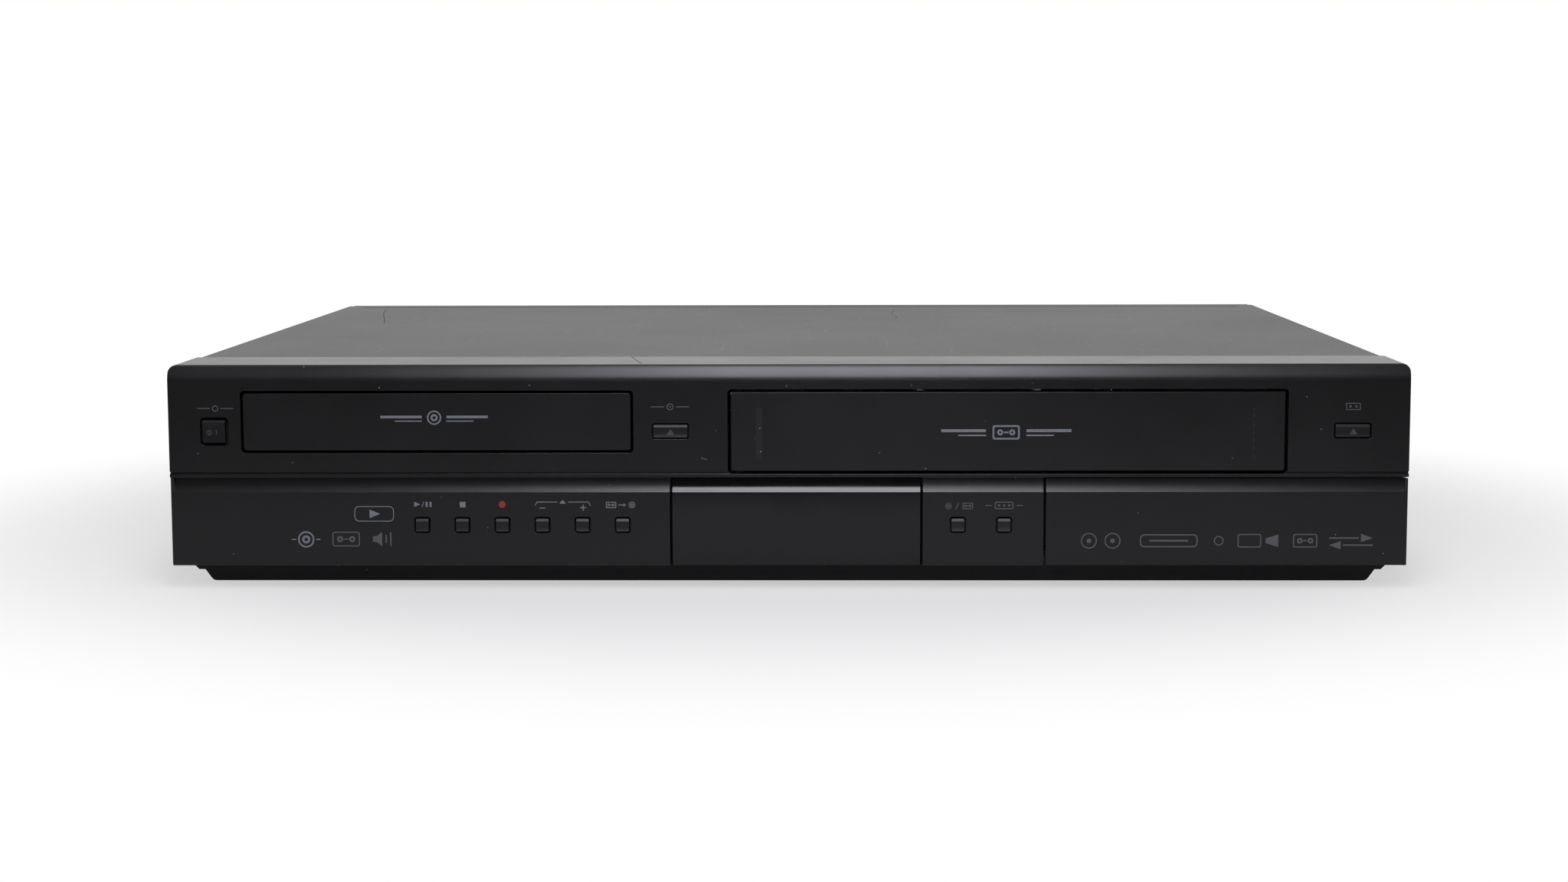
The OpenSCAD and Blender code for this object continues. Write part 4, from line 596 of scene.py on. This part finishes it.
print_sign("play_sign", [[(-127.83, 29.83), (-129.92, 30.76), (-129.92, 28.91)],
                         [(-127.1, 28.91), (-126.41, 30.76), (-126.68, 30.76), (-127.37, 28.91)],
                         bar(-125.95, -125.25, 28.91, 30.76),
                         bar(-124.56, -123.86, 28.91, 30.76)], grey_ink)
print_sign("stop_sign", [bar(-113.96, -111.97, 28.75, 30.72)], grey_ink)
print_sign("record_sign", [ring_loop((-99.14, 29.78), 2.4, 2.4)], red_ink)
print_sign("channel_sign", [[(-87.05, 30.78), (-79.9, 30.78), (-79.9, 30.5), (-86.9, 30.5),
                             (-87.62, 29.35), (-87.89, 29.35)],
                            [(-68.47, 29.35), (-69.2, 30.5), (-76.2, 30.5), (-76.2, 30.78),
                             (-69.05, 30.78), (-68.2, 29.35)],
                            [(-79.2, 30.1), (-76.9, 30.1), (-78.05, 31.4)],
                            bar(-86.17, -84.14, 28.35, 28.68),
                            plus_loop((-70.9, 28.65), 1.05, 0.17)], grey_ink)
print_sign("copy_sign", [bar(-58.6, -56.8, 29.46, 29.74),
                         [(-55.9, 29.6), (-56.9, 30.2), (-56.9, 29.0)]]
           + tape_sign(-61.2, 29.6, 3.6, 2.2, 0.28) + disc_sign(-53.9, 29.6, 1.15),
           grey_ink)
print_sign("source_sign", [[(58.9, 28.1), (59.9, 30.3), (59.6, 30.3), (58.6, 28.1)]]
           + disc_sign(56.2, 29.2, 1.1) + tape_sign(62.9, 29.2, 3.6, 2.2, 0.28),
           faint_ink)
print_sign("output_sign", [frame_loops((75.5, 29.4), 6.4, 2.6, 0.6, 0.3, 0.4),
                           bar(69.0, 71.2, 29.26, 29.54), bar(79.8, 82.0, 29.26, 29.54)]
           + [ring_loop((x, 29.4), 0.8, 0.8) for x in (73.7, 75.5, 77.3)],
           faint_ink)
print_sign("disc_mark", [bar(-173.0, -171.6, 17.3, 17.7), bar(-164.4, -163.0, 17.3, 17.7)]
           + disc_sign(-168.0, 17.5, 2.9), grey_ink)
print_sign("tape_mark", tape_sign(-154.0, 17.6, 9.6, 5.2, 0.4), faint_ink)
print_sign("sound_mark", [[(-144.6, 16.6), (-143.2, 16.6), (-141.4, 15.0), (-141.4, 20.2),
                           (-143.2, 18.6), (-144.6, 18.6)],
                          bar(-140.2, -139.7, 16.2, 19.0), bar(-138.6, -138.1, 15.2, 20.0)],
           faint_ink)
print_sign("film_mark", [frame_loops((-144.0, 26.5), 13.8, 5.4, 1.6, 0.28, 1.32),
                         [(-141.9, 26.5), (-145.6, 28.0), (-145.6, 25.0)]],
           grey_ink)
print_sign("tray_sign", [bar(-141.0, -126.6, 60.1, 61.0), bar(-118.0, -103.6, 60.1, 61.0),
                         bar(-136.0, -126.6, 58.9, 59.3), bar(-118.0, -108.6, 58.9, 59.3)]
           + disc_sign(-122.3, 60.3, 2.5), grey_ink, "tray", "tray")
print_sign("flap_sign", [bar(53.5, 69.0, 55.1, 56.1), bar(83.0, 98.5, 55.1, 56.1),
                         bar(59.5, 69.0, 53.7, 54.2), bar(83.0, 92.5, 53.7, 54.2)]
           + tape_sign(76.0, 55.0, 9.4, 5.0, 0.6), grey_ink, "flap", "flap")
print_sign("door_marks", [ring((105.0, 17.0), 5.6, 4.8), ring_loop((105.0, 17.0), 1.6, 1.6),
                          ring((113.2, 17.0), 5.6, 4.8), ring_loop((113.2, 17.0), 1.6, 1.6),
                          frame_loops((132.7, 17.0), 20.0, 4.6, 1.4, 0.45, 1.0),
                          bar(126.0, 139.4, 16.7, 17.3), ring((150.0, 17.0), 3.4, 2.6),
                          frame_loops((160.6, 17.0), 8.2, 4.8, 0.8, 0.4, 0.5),
                          [(166.2, 17.8), (166.2, 16.2), (170.6, 14.8), (170.6, 19.2)],
                          bar(188.1, 198.4, 17.7, 18.2),
                          [(203.3, 17.95), (199.2, 19.4), (199.2, 16.5)],
                          bar(193.0, 203.3, 15.2, 15.7),
                          [(188.1, 15.45), (192.2, 14.0), (192.2, 16.9)]]
           + tape_sign(179.9, 17.0, 8.4, 4.8, 0.4), faint_ink, "door", "input_door")


# ---- Input door cheek --------------------------------------------------------
# A black plate moulded on the right end of the input door closes the niche from
# the side. Its lower rear corner is round, so that it turns with the hinge.

cheek_x = (213.9, 214.85)
cheek_axis, cheek_radius = (-170.4, 11.2), 2.95
cheek_front, cheek_top, cheek_lean = -175.0, 38.0, (1.0, 5.0)


def end_plate(across, axis, radius, front, top, lean, steps=9):
    """Closed plate: its outline runs round a quarter circle about the axis, up the back, forward
    along the top, and down the front, whose upper end leans back. Both ends are that outline,
    joined by quads."""
    turn = np.linspace(-np.pi / 2, 0, steps)
    corner = np.stack([axis[0] + radius * np.cos(turn), axis[1] + radius * np.sin(turn)], 1)
    outline = np.concatenate([corner, [(axis[0] + radius, top), (front + lean[0], top),
                                       (front, top - lean[1]), (front, axis[1] - radius)]])
    count = len(outline)
    points = np.concatenate([np.column_stack([np.full(count, x), outline]) for x in across])
    this = np.arange(count)
    after = (this + 1) % count
    walls = np.stack([this, this + count, after + count, after], 1).tolist()
    return points * MM, walls + [this[::-1].tolist(), (this + count).tolist()]


cheek_form = end_plate(cheek_x, cheek_axis, cheek_radius, cheek_front, cheek_top, cheek_lean)
cheek = new_piece("door_cheek", *cheek_form, front_plastic)
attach(cheek, "input_door")


# ---- Steel cover -------------------------------------------------------------
# Folded steel sheet with a baked dark grey paint: a fine orange-peel texture, hair scratches and a
# thin veil of dust. Near its rear edge a thin band along a shallow crease is painted darker and
# duller, and two curled scratches run forward from there.

cover_grey = (0.02, 0.02, 0.02, 1)
veil_grey = (0.035, 0.034, 0.033, 1)
cover_face = 77.9
crease_rows, crease_end = (145.5, 148.5), 204
left_curl = ((-190.7, 133.6), (-189.7, 123.6), (-187.2, 103.6), (-180.6, 67.4), (-176.0, 40.0))
right_curl = ((44.1, 122.0), (41.9, 97.6), (44.1, 76.9), (42.9, 60.0))
left_half, right_half = 0.16, 0.12
pale_hair, pale_half = ((-80.7, -3.8), (-71.1, 13.9)), 0.12
cover_chip, cover_chip_radius = (48.0, -139.0), 0.5


def baked_paint(name, colour, roughness, specular, veil):
    """Stoved paint on steel: orange peel, long hair scratches and dust that lies on its top."""
    finish = plastic(name, colour, roughness, specular)
    peel = noise(finish, 900, 3.0, 0.6)
    cloud = noise(finish, 9, 4.0, 0.6)
    hairs = noise(finish, 900, 1.0, 0.5, (0.03, 1, 1)) | noise(finish, 800, 1.0, 0.5, (1, 0.03, 1))
    finish.rough = (stretch(finish, cloud, 0.3, 0.7, roughness - 0.02, roughness + 0.03)
                    + (peel - 0.5) * 0.12 - stretch(finish, hairs, 0.7, 0.76) * 0.03)
    finish.feed("Roughness", finish.rough)
    paint_over(finish, stretch(finish, cloud, 0.35, 0.7) * 0.5, veil)
    paint_over(finish, stretch(finish, peel, 0.5, 0.7) * 0.5, shaded(colour, 1.6))
    paint_over(finish, specks(finish, 120, 0.00025, 0.3) * 0.6, dust_grey)
    emboss(finish, peel, 0.5, 0.00005)
    return finish


cover = baked_paint("cover_paint", cover_grey, 0.47, 0.4, veil_grey)
on_top = cover.z > cover_face
scratches = away(cover.x, cover.y, cover_chip) < cover_chip_radius
for curl, half in ((left_curl, left_half), (right_curl, right_half)):
    for start, end in zip(curl, curl[1:]):
        scratches = scratches | stroke(cover.x, cover.y, start, end, half)
# A thin band along the rear crease is painted darker and duller.
crease = between(cover.y, *crease_rows) * (abs(cover.x) < crease_end)
dulled = (scratches | crease) * on_top
paint_over(cover, dulled, scratch_black)
pale = stroke(cover.x, cover.y, *pale_hair, pale_half) * on_top
paint_over(cover, pale * 0.5, dust_grey)
cover.feed("Roughness", cover.rough + dulled * 0.35)
dress(cover, "top_cover")


# ---- Bottom pan, rear panel, feet and screws ---------------------------------
# The pan and the rear panel are pressed from thinner sheet with plainer black
# paint. Black zinc-plated screws hold them, and rubber pads stand under the pan.

pan_black = (0.0075, 0.0075, 0.0078, 1)
screw_black = (0.05, 0.05, 0.052, 1)
rubber_black = (0.012, 0.012, 0.012, 1)
pan_veil = (0.011, 0.011, 0.011, 1)

pan_finish = baked_paint("pan_paint", pan_black, 0.45, 0.35, pan_veil)
dress(pan_finish, "bottom_chassis", "rear_panel")


def metal(name, colour, roughness, pull=(1, 1, 1), marks=900):
    """Bare or plated metal: rolled or ground marks drawn out along one axis, and dull clouds."""
    finish = plastic(name, colour, roughness, metallic=1.0)
    lines = noise(finish, marks, 3.0, 0.6, pull)
    cloud = noise(finish, 40, 3.0, 0.6)
    finish.feed("Roughness", (lines - 0.5) * 0.12
               + stretch(finish, cloud, 0.3, 0.7, roughness - 0.05, roughness + 0.07))
    paint_over(finish, stretch(finish, lines, 0.35, 0.7) * 0.5, shaded(colour, 0.8))
    emboss(finish, lines, 0.15, 0.00003)
    return finish


dress(metal("black_zinc", screw_black, 0.35), "case_screws")


def rubber(name, colour):
    """Soft rubber with a dull skin and a little chalky bloom."""
    finish = plastic(name, colour, 0.75, 0.3)
    skin = noise(finish, 1800, 3.0, 0.6)
    bloom = noise(finish, 60, 3.0, 0.6)
    paint_over(finish, stretch(finish, bloom, 0.45, 0.75) * 0.7, shaded(colour, 2.2))
    emboss(finish, skin, 0.35, 0.00006)
    return finish


dress(rubber("foot_rubber", rubber_black), "rubber_feet")


# ---- Sockets -----------------------------------------------------------------
# Rows of plated jacks stand out of black moulded blocks at the rear, each with a
# coloured ring. Beside them are the tuner can with two screw connectors, a flat
# digital socket and the mains inlet; three jacks and a flat socket are in front.

socket_black = (0.012, 0.012, 0.012, 1)
nickel = (0.72, 0.7, 0.66, 1)
brass = (0.75, 0.6, 0.32, 1)
ring_yellow = (0.75, 0.5, 0.03, 1)
ring_white = (0.75, 0.74, 0.7, 1)
ring_red = (0.55, 0.02, 0.02, 1)
ring_green = (0.03, 0.3, 0.07, 1)
ring_blue = (0.03, 0.1, 0.5, 1)
ring_orange = (0.75, 0.2, 0.02, 1)
jack_edge, jack_hole, sleeve_edge = 3.5, 1.7, 4.4
jack_first, jack_pitch, jack_low, jack_rise, jack_end = -145.5, 13, 20, 14, 167.3
top_rings = (ring_yellow, ring_white, ring_red, ring_green, ring_red)
low_rings = (ring_yellow, ring_white, ring_red, ring_blue, ring_orange)
aerial_x, aerial_spot, aerial_edge, aerial_end = -173, (10, 45), 1.95, 168
tongue_x, tongue_half, tongue_z = -62.1, 5.6, (24.1, 25.7)
inlet_x, inlet_pin, pin_radius, pin_end = 183, (4, 30), 1.3, 156
front_first, front_pitch, front_last, front_z, front_end = 116.5, 15, 165, 25, -159
front_rings = (ring_yellow, ring_white, ring_red)
shell_x, shell_edges, shell_end = 182, (6.0, 6.7), -152


def plate_over(finish, mask, colour, roughness):
    """Plates part of a piece: metal of another colour where mask is 1."""
    paint_over(finish, mask, colour)
    finish.feed("Metallic", mask)
    finish.feed("Roughness", finish.rough * (1 - mask) + mask * roughness)


def socket_plastic(name):
    """Black moulded nylon, ready for plated and coloured parts."""
    finish = plastic(name, socket_black, 0.42, 0.45)
    fine = noise(finish, 1900, 3.0, 0.6)
    smear = noise(finish, 60, 3.0, 0.6)
    finish.rough = stretch(finish, smear, 0.3, 0.7, 0.37, 0.48)
    finish.feed("Roughness", finish.rough)
    paint_over(finish, stretch(finish, smear, 0.4, 0.75), (0.02, 0.02, 0.02, 1))
    emboss(finish, fine, 0.25, 0.00005)
    return finish


def ring_row(finish, across, colours):
    """Colours of a row of evenly spaced jacks, while across runs from 0 to 1."""
    stops = [(number / len(colours), colour) for number, colour in enumerate(colours)]
    ramp = finish.node("ShaderNodeValToRGB", {"stops": stops}, {0: across})
    ramp.link.node.color_ramp.interpolation = "CONSTANT"
    return ramp


jacks = socket_plastic("jack_block")
column = (jacks.x - jack_first) % jack_pitch - jack_pitch / 2
row = (jacks.z - jack_low) % jack_rise - jack_rise / 2
reach = away(column, row, (0, 0))
sleeve = (reach < sleeve_edge) * (jacks.y > jack_end)
plate_over(jacks, sleeve * (reach > jack_edge), nickel, 0.22)
across = (jacks.x - jack_first) / (jack_pitch * len(top_rings))
ring_colour = blend(jacks, jacks.z > jack_low + jack_rise,
                    ring_row(jacks, across, low_rings),
                    ring_row(jacks, across, top_rings))
paint_over(jacks, sleeve * between(reach, jack_hole, jack_edge), ring_colour)
dress(jacks, "rear_jack_block")

tin = metal("tinned_steel", (0.6, 0.6, 0.58, 1), 0.32, (1, 0.05, 1))
core = away(abs(tin.x - aerial_x), tin.z, aerial_spot)
inside = (core < aerial_edge) * (tin.y > aerial_end)
paint_over(tin, inside, ring_white)
tin.feed("Metallic", 1 - inside)
dress(tin, "tuner_block")

flat = metal("nickel_shell", nickel, 0.25, (1, 0.05, 1))
tongue = (abs(flat.x - tongue_x) < tongue_half) * between(flat.z, *tongue_z)
paint_over(flat, tongue, socket_black)
flat.feed("Metallic", 1 - tongue)
dress(flat, "digital_socket")

inlet = socket_plastic("mains_inlet_nylon")
pins = away(abs(inlet.x - inlet_x), inlet.z, inlet_pin) < pin_radius
plate_over(inlet, pins * (inlet.y > pin_end), nickel, 0.2)
dress(inlet, "mains_inlet")

front_jacks = socket_plastic("front_jacks")
front_column = (front_jacks.x - front_first) % front_pitch - front_pitch / 2
front_reach = away(front_column, front_jacks.z, (0, front_z))
forward = ((front_reach < sleeve_edge) * (front_jacks.y < front_end)
           * (front_jacks.x < front_last))
shell = between(abs(front_jacks.x - shell_x), *shell_edges) * (front_jacks.y < shell_end)
plate_over(front_jacks, forward * (front_reach > jack_edge) | shell, nickel, 0.22)
front_across = (front_jacks.x - front_first) / (front_pitch * len(front_rings))
paint_over(front_jacks, forward * between(front_reach, jack_hole, jack_edge),
           ring_row(front_jacks, front_across, front_rings))
dress(front_jacks, "front_jack_board")


# ---- Circuit boards ----------------------------------------------------------
# Glass-fibre board with green solder mask under the keys and for the signals,
# and brown paper board for the power supply, with their parts soldered on. A
# sheet of black fish paper stands along the supply's front edge.

mask_green = (0.01, 0.09, 0.035, 1)
track_green = (0.03, 0.16, 0.07, 1)
paper_brown = (0.2, 0.12, 0.045, 1)
chip_black = (0.014, 0.014, 0.015, 1)
can_silver = (0.5, 0.5, 0.5, 1)
sleeve_blue = (0.012, 0.018, 0.05, 1)
nylon_white = (0.62, 0.6, 0.52, 1)
copper_yellow = (0.55, 0.4, 0.03, 1)
paper_track = (0.28, 0.17, 0.07, 1)
board_top = 21.75
small_can_rows, small_can_top, plug_rows = (102, 110), 29.4, (46.5, 52.5)
coil_columns, coil_top, coil_rows = (29.8, 50), 42.1, (110.9, 139.1)
heat_sink_columns = (101, 112)
left_can_edge, left_can_top = 8, 39.4
large_can_columns, large_can_top = (70, 94), 51.4
switch_front = -158.2


def circuit_board(name, colour, track):
    """Board with thin winding tracks and bright solder joints, ready for its parts."""
    finish = plastic(name, colour, 0.35)
    fields = noise(finish, 60, 1.0, 0.4, (1, 1, 0.2))
    lines = stretch(finish, abs(fields * 12 % 1 - 0.5), 0.12, 0.16, 1, 0)
    paint_over(finish, lines, track)
    solder = specks(finish, 260, 0.0006, 0.4)
    paint_over(finish, solder, can_silver)
    emboss(finish, lines | solder, 0.3, 0.00005)
    return finish


signal = circuit_board("signal_board", mask_green, track_green)
over_main = signal.z > board_top
can_row = over_main * between(signal.y, *small_can_rows)
paint_over(signal, over_main, chip_black)
paint_over(signal, can_row, sleeve_blue)
paint_over(signal, can_row * (signal.z > small_can_top), can_silver)
paint_over(signal, over_main * between(signal.y, *plug_rows), nylon_white)
dress(signal, "main_board")

supply = circuit_board("supply_board", paper_brown, paper_track)
over_power = supply.z > board_top
winding = over_power * between(supply.x, *coil_columns) * (supply.z < coil_top)
coil_ends = (supply.y < coil_rows[0]) | (supply.y > coil_rows[1])
left_cans = (supply.x < left_can_edge) * (supply.z > left_can_top)
large_cans = between(supply.x, *large_can_columns) * (supply.z > large_can_top)
paint_over(supply, over_power, chip_black)
paint_over(supply, winding * coil_ends, copper_yellow)
paint_over(supply, over_power * between(supply.x, *heat_sink_columns), can_silver)
paint_over(supply, over_power * left_cans, can_silver)
paint_over(supply, over_power * large_cans, can_silver)
dress(supply, "power_board")

fish_paper = (0.012, 0.012, 0.012, 1)
fish_fibre = (0.02, 0.02, 0.019, 1)
sheet_x, sheet_z, sheet_y, sheet_thick = (-7.0, 202.0), (21.65, 58.0), 91.5, 0.4
sheet_wave, sheet_turn, sheet_lean = 1.2, 9.0, 0.5


def standing_sheet(across, upward, depth, thick, columns=60, rows=12):
    """Closed thin sheet standing on edge: its depth bows by a slow wave across and grows with
    height; front and back are the same grid, thick apart, joined round the rim."""
    part, rise = np.meshgrid(np.linspace(0, 1, columns), np.linspace(0, 1, rows))
    bow = depth + sheet_wave * np.sin(part * sheet_turn) * rise + sheet_lean * rise
    sides = [np.stack([across[0] + part * (across[1] - across[0]), bow + push,
                       upward[0] + rise * (upward[1] - upward[0])], 2).reshape(-1, 3)
             for push in (0, thick)]
    order = np.arange(columns * rows).reshape(rows, columns)
    near = np.stack([order[:-1, :-1], order[:-1, 1:], order[1:, 1:], order[1:, :-1]], 2)
    near = near.reshape(-1, 4)
    rim = np.concatenate([order[0, :-1], order[:-1, -1], order[-1, :0:-1], order[:0:-1, 0]])
    ahead = np.roll(rim, -1)
    far = columns * rows
    walls = np.stack([ahead, rim, rim + far, ahead + far], 1)
    faces = np.concatenate([near, near[:, ::-1] + far, walls])
    return np.concatenate(sides) * MM, faces.tolist()


barrier_finish = plastic("fish_paper", fish_paper, 0.6, 0.35)
barrier_fibre = noise(barrier_finish, 500, 4.0, 0.7, (0.3, 1, 1))
paint_over(barrier_finish, stretch(barrier_finish, barrier_fibre, 0.4, 0.7), fish_fibre)
emboss(barrier_finish, barrier_fibre, 0.3, 0.00006)
barrier_form = standing_sheet(sheet_x, sheet_z, sheet_y, sheet_thick)
barrier = new_piece("supply_barrier", *barrier_form, barrier_finish)
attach(barrier, "root")

small_finish = circuit_board("key_board_green", mask_green, track_green)
paint_over(small_finish, small_finish.y < switch_front, chip_black)
dress(small_finish, "key_board")


# ---- Fan ---------------------------------------------------------------------
# A small case fan screwed behind the rear panel: square frame and a rotor with
# seven blades, of glass-filled black plastic; its hub carries a plain pale disc.

fan_black = (0.01, 0.01, 0.01, 1)
rotor_black = (0.014, 0.014, 0.014, 1)
label_grey = (0.3, 0.3, 0.29, 1)
fan_axis, label_radius, label_end = (-54.1, 50), 7.5, 166.5

dress(satin_plastic("fan_black", fan_black, 0.45, 0.45), "fan_frame")
rotor = satin_plastic("rotor_black", rotor_black, 0.4, 0.45)
hub = away(rotor.x, rotor.z, fan_axis)
paint_over(rotor, (hub < label_radius) * (rotor.y > label_end), label_grey)
dress(rotor, "fan_rotor")


# ---- Disc drive --------------------------------------------------------------
# A black moulded frame with a zinc-plated lid. The tray slides in it on a rack,
# driven by a motor, a belt and two acetal gears; grease has darkened the teeth.

frame_black = (0.011, 0.011, 0.0115, 1)
tray_black = (0.014, 0.014, 0.0145, 1)
worn_black = (0.02, 0.02, 0.02, 1)
acetal = (0.62, 0.6, 0.53, 1)
acetal_fleck = (0.52, 0.5, 0.43, 1)
gear_grease = (0.3, 0.27, 0.19, 1)
belt_black = (0.01, 0.01, 0.01, 1)
zinc = (0.62, 0.62, 0.63, 1)
disc_axis, disc_well = (-121.45, -92), 60.9
tray_gear_axis, pulley_gear_axis, motor_axis = (-163.45, -139), (-137.45, -139), (-103.45, -139)
tray_teeth, pulley_teeth, motor_boss = 17.5, 4.2, 3.6

dress(satin_plastic("drive_black", frame_black, 0.4, 0.45), "drive_base")
tray = satin_plastic("tray_black", tray_black, 0.3, 0.5)
tray_turns = away(tray.x, tray.y, disc_axis)
paint_over(tray, (tray_turns < disc_well) * 0.5, worn_black)
dress(tray, "disc_tray")
dress(metal("zinc_sheet", zinc, 0.3, (1, 0.04, 1), 1200), "drive_lid", "traverse")


def acetal_gear(name, centre, tooth_low):
    """White acetal with a silky skin, greased from tooth_low mm outwards."""
    finish = plastic(name, acetal, 0.35)
    fine = noise(finish, 900, 3.0, 0.6)
    grease = noise(finish, 260, 3.0, 0.6)
    teeth = away(finish.x, finish.y, centre) > tooth_low
    paint_over(finish, stretch(finish, fine, 0.4, 0.7) * 0.4, acetal_fleck)
    paint_over(finish, teeth * stretch(finish, grease, 0.4, 0.65) * 0.6, gear_grease)
    finish.feed("Roughness", 0.36 - teeth * 0.12)
    emboss(finish, fine, 0.15, 0.00004)
    return finish


dress(acetal_gear("tray_gear_acetal", tray_gear_axis, tray_teeth), "tray_gear")
dress(acetal_gear("pulley_gear_acetal", pulley_gear_axis, pulley_teeth), "pulley_gear")
dress(rubber("belt_rubber", belt_black), "drive_belt")

motor = metal("motor_can", zinc, 0.24, (1, 1, 0.03), 700)
motor_reach = away(motor.x, motor.y, motor_axis)
paint_over(motor, motor_reach < motor_boss, brass)
dress(motor, "loading_motor")
dress(metal("turned_brass", brass, 0.25, (1, 1, 8), 500), "motor_pulley")


# ---- Spindle, sled and clamp -------------------------------------------------
# The traverse plate carries a flat spindle motor with a rubber-faced turntable
# and the cast sled with its lens on two ground rods; a magnetic clamp sits above.

turntable_black = (0.015, 0.015, 0.015, 1)
face_rubber = (0.03, 0.03, 0.032, 1)
rod_steel = (0.7, 0.7, 0.7, 1)
cast_grey = (0.33, 0.34, 0.36, 1)
lens_blue = (0.03, 0.06, 0.16, 1)
face_ring, face_low, spigot_radius = (8.3, 14.6), 47.4, 3.1
clamp_grooves = (9.6, 10.2), (12.9, 13.3)
laser_axis, laser_radius, holder_radius = (-121.45, -67), 2.35, 4.6
laser_low, holder_low = 47.0, 47.05


def turned(finish, centre, depth=0.00003):
    """Rings of a turned face: a noise of the distance from the axis alone."""
    rings = finish.node("ShaderNodeTexNoise", {"noise_dimensions": "1D"},
                        {"W": away(finish.x, finish.y, centre), "Scale": 6.0, "Detail": 3.0})
    emboss(finish, rings, 0.3, depth)


turntable = satin_plastic("turntable_black", turntable_black, 0.45, 0.45)
table_reach = away(turntable.x, turntable.y, disc_axis)
table_face = between(table_reach, *face_ring) * (turntable.z > face_low)
paint_over(turntable, table_face, face_rubber)
paint_over(turntable, table_reach < spigot_radius, can_silver)
dress(turntable, "turntable")

spindle_finish = metal("spindle_can", zinc, 0.26)
turned(spindle_finish, disc_axis)
dress(spindle_finish, "spindle_motor")

clamp = satin_plastic("clamp_black", worn_black, 0.4, 0.45)
clamp_reach = away(clamp.x, clamp.y, disc_axis)
# Painted shade: the two grooves in the clamp's face are painted a darker black.
inner_groove_shade, outer_groove_shade = (between(clamp_reach, *groove) for groove in clamp_grooves)
paint_over(clamp, inner_groove_shade | outer_groove_shade, frame_black)
dress(clamp, "disc_clamp")
dress(metal("ground_rod", rod_steel, 0.15, (1, 0.03, 1), 1500), "guide_rods")

sled = metal("cast_zinc", cast_grey, 0.45, (1, 1, 1), 700)
laser_reach = away(sled.x, sled.y, laser_axis)
holder = (laser_reach < holder_radius) * (sled.z > holder_low)
paint_over(sled, holder, chip_black)
paint_over(sled, (laser_reach < laser_radius) * (sled.z > laser_low), lens_blue)
sled.feed("Metallic", 1 - holder)
dress(sled, "pickup_sled")


# ---- Cassette deck -----------------------------------------------------------
# A zinc-plated deck plate with two reels, the slanted drum, the capstan with its
# pinch roller, fixed heads and guide posts, and the carriage between side frames.

deck_zinc = (0.58, 0.57, 0.52, 1)
bracket_zinc = (0.6, 0.6, 0.58, 1)
carriage_zinc = (0.6, 0.6, 0.6, 1)
reel_black = (0.02, 0.02, 0.021, 1)
reel_track = (0.045, 0.045, 0.045, 1)
hub_grey = (0.3, 0.3, 0.28, 1)
cast_aluminium = (0.5, 0.5, 0.5, 1)
drum_silver = (0.78, 0.78, 0.79, 1)
capstan_grey = (0.66, 0.66, 0.66, 1)
roller_black = (0.018, 0.018, 0.018, 1)
post_steel = (0.72, 0.72, 0.72, 1)
reel_axes = (("supply_reel", (30.4, -63)), ("takeup_reel", (122.4, -63)))
reel_ring, reel_ring_low, hub_radius, hub_low = (9.5, 14.2), 30.8, 6.2, 31
capstan_axis = (138.4, 13)
roller_axis, roller_radius, roller_z = (149.9, 9), 6.1, (33.2, 45.8)

dress(metal("deck_zinc", deck_zinc, 0.34, (0.04, 1, 1), 1100), "deck_plate")
dress(metal("frame_zinc", bracket_zinc, 0.3, (1, 0.04, 1), 1100), "carriage_frames")
dress(metal("carriage_zinc", carriage_zinc, 0.3, (0.04, 1, 1), 1300), "cassette_carriage")

for reel, reel_axis in reel_axes:
    reel_finish = satin_plastic(reel + "_black", reel_black, 0.4, 0.45)
    reel_reach = away(reel_finish.x, reel_finish.y, reel_axis)
    reel_face = between(reel_reach, *reel_ring) * (reel_finish.z > reel_ring_low)
    paint_over(reel_finish, reel_face, reel_track)
    paint_over(reel_finish, (reel_reach < hub_radius) * (reel_finish.z > hub_low), hub_grey)
    dress(reel_finish, reel)

dress(metal("drum_cast", cast_aluminium, 0.4, (1, 1, 1), 500), "drum_base")
dress(metal("drum_polished", drum_silver, 0.14, (1, 1, 12), 500), "head_drum")
capstan_finish = metal("capstan_steel", capstan_grey, 0.2, (1, 1, 10), 600)
turned(capstan_finish, capstan_axis)
dress(capstan_finish, "capstan")

pinch = metal("pinch_arm_steel", zinc, 0.3)
roller_reach = away(pinch.x, pinch.y, roller_axis)
roller = (roller_reach < roller_radius) * between(pinch.z, *roller_z)
paint_over(pinch, roller, roller_black)
pinch.feed("Metallic", 1 - roller)
dress(pinch, "pinch_arm")
dress(metal("head_shield", bracket_zinc, 0.22, (1, 1, 0.04), 900), "tape_heads")
dress(metal("guide_steel", post_steel, 0.16, (1, 1, 8), 700), "guide_posts")
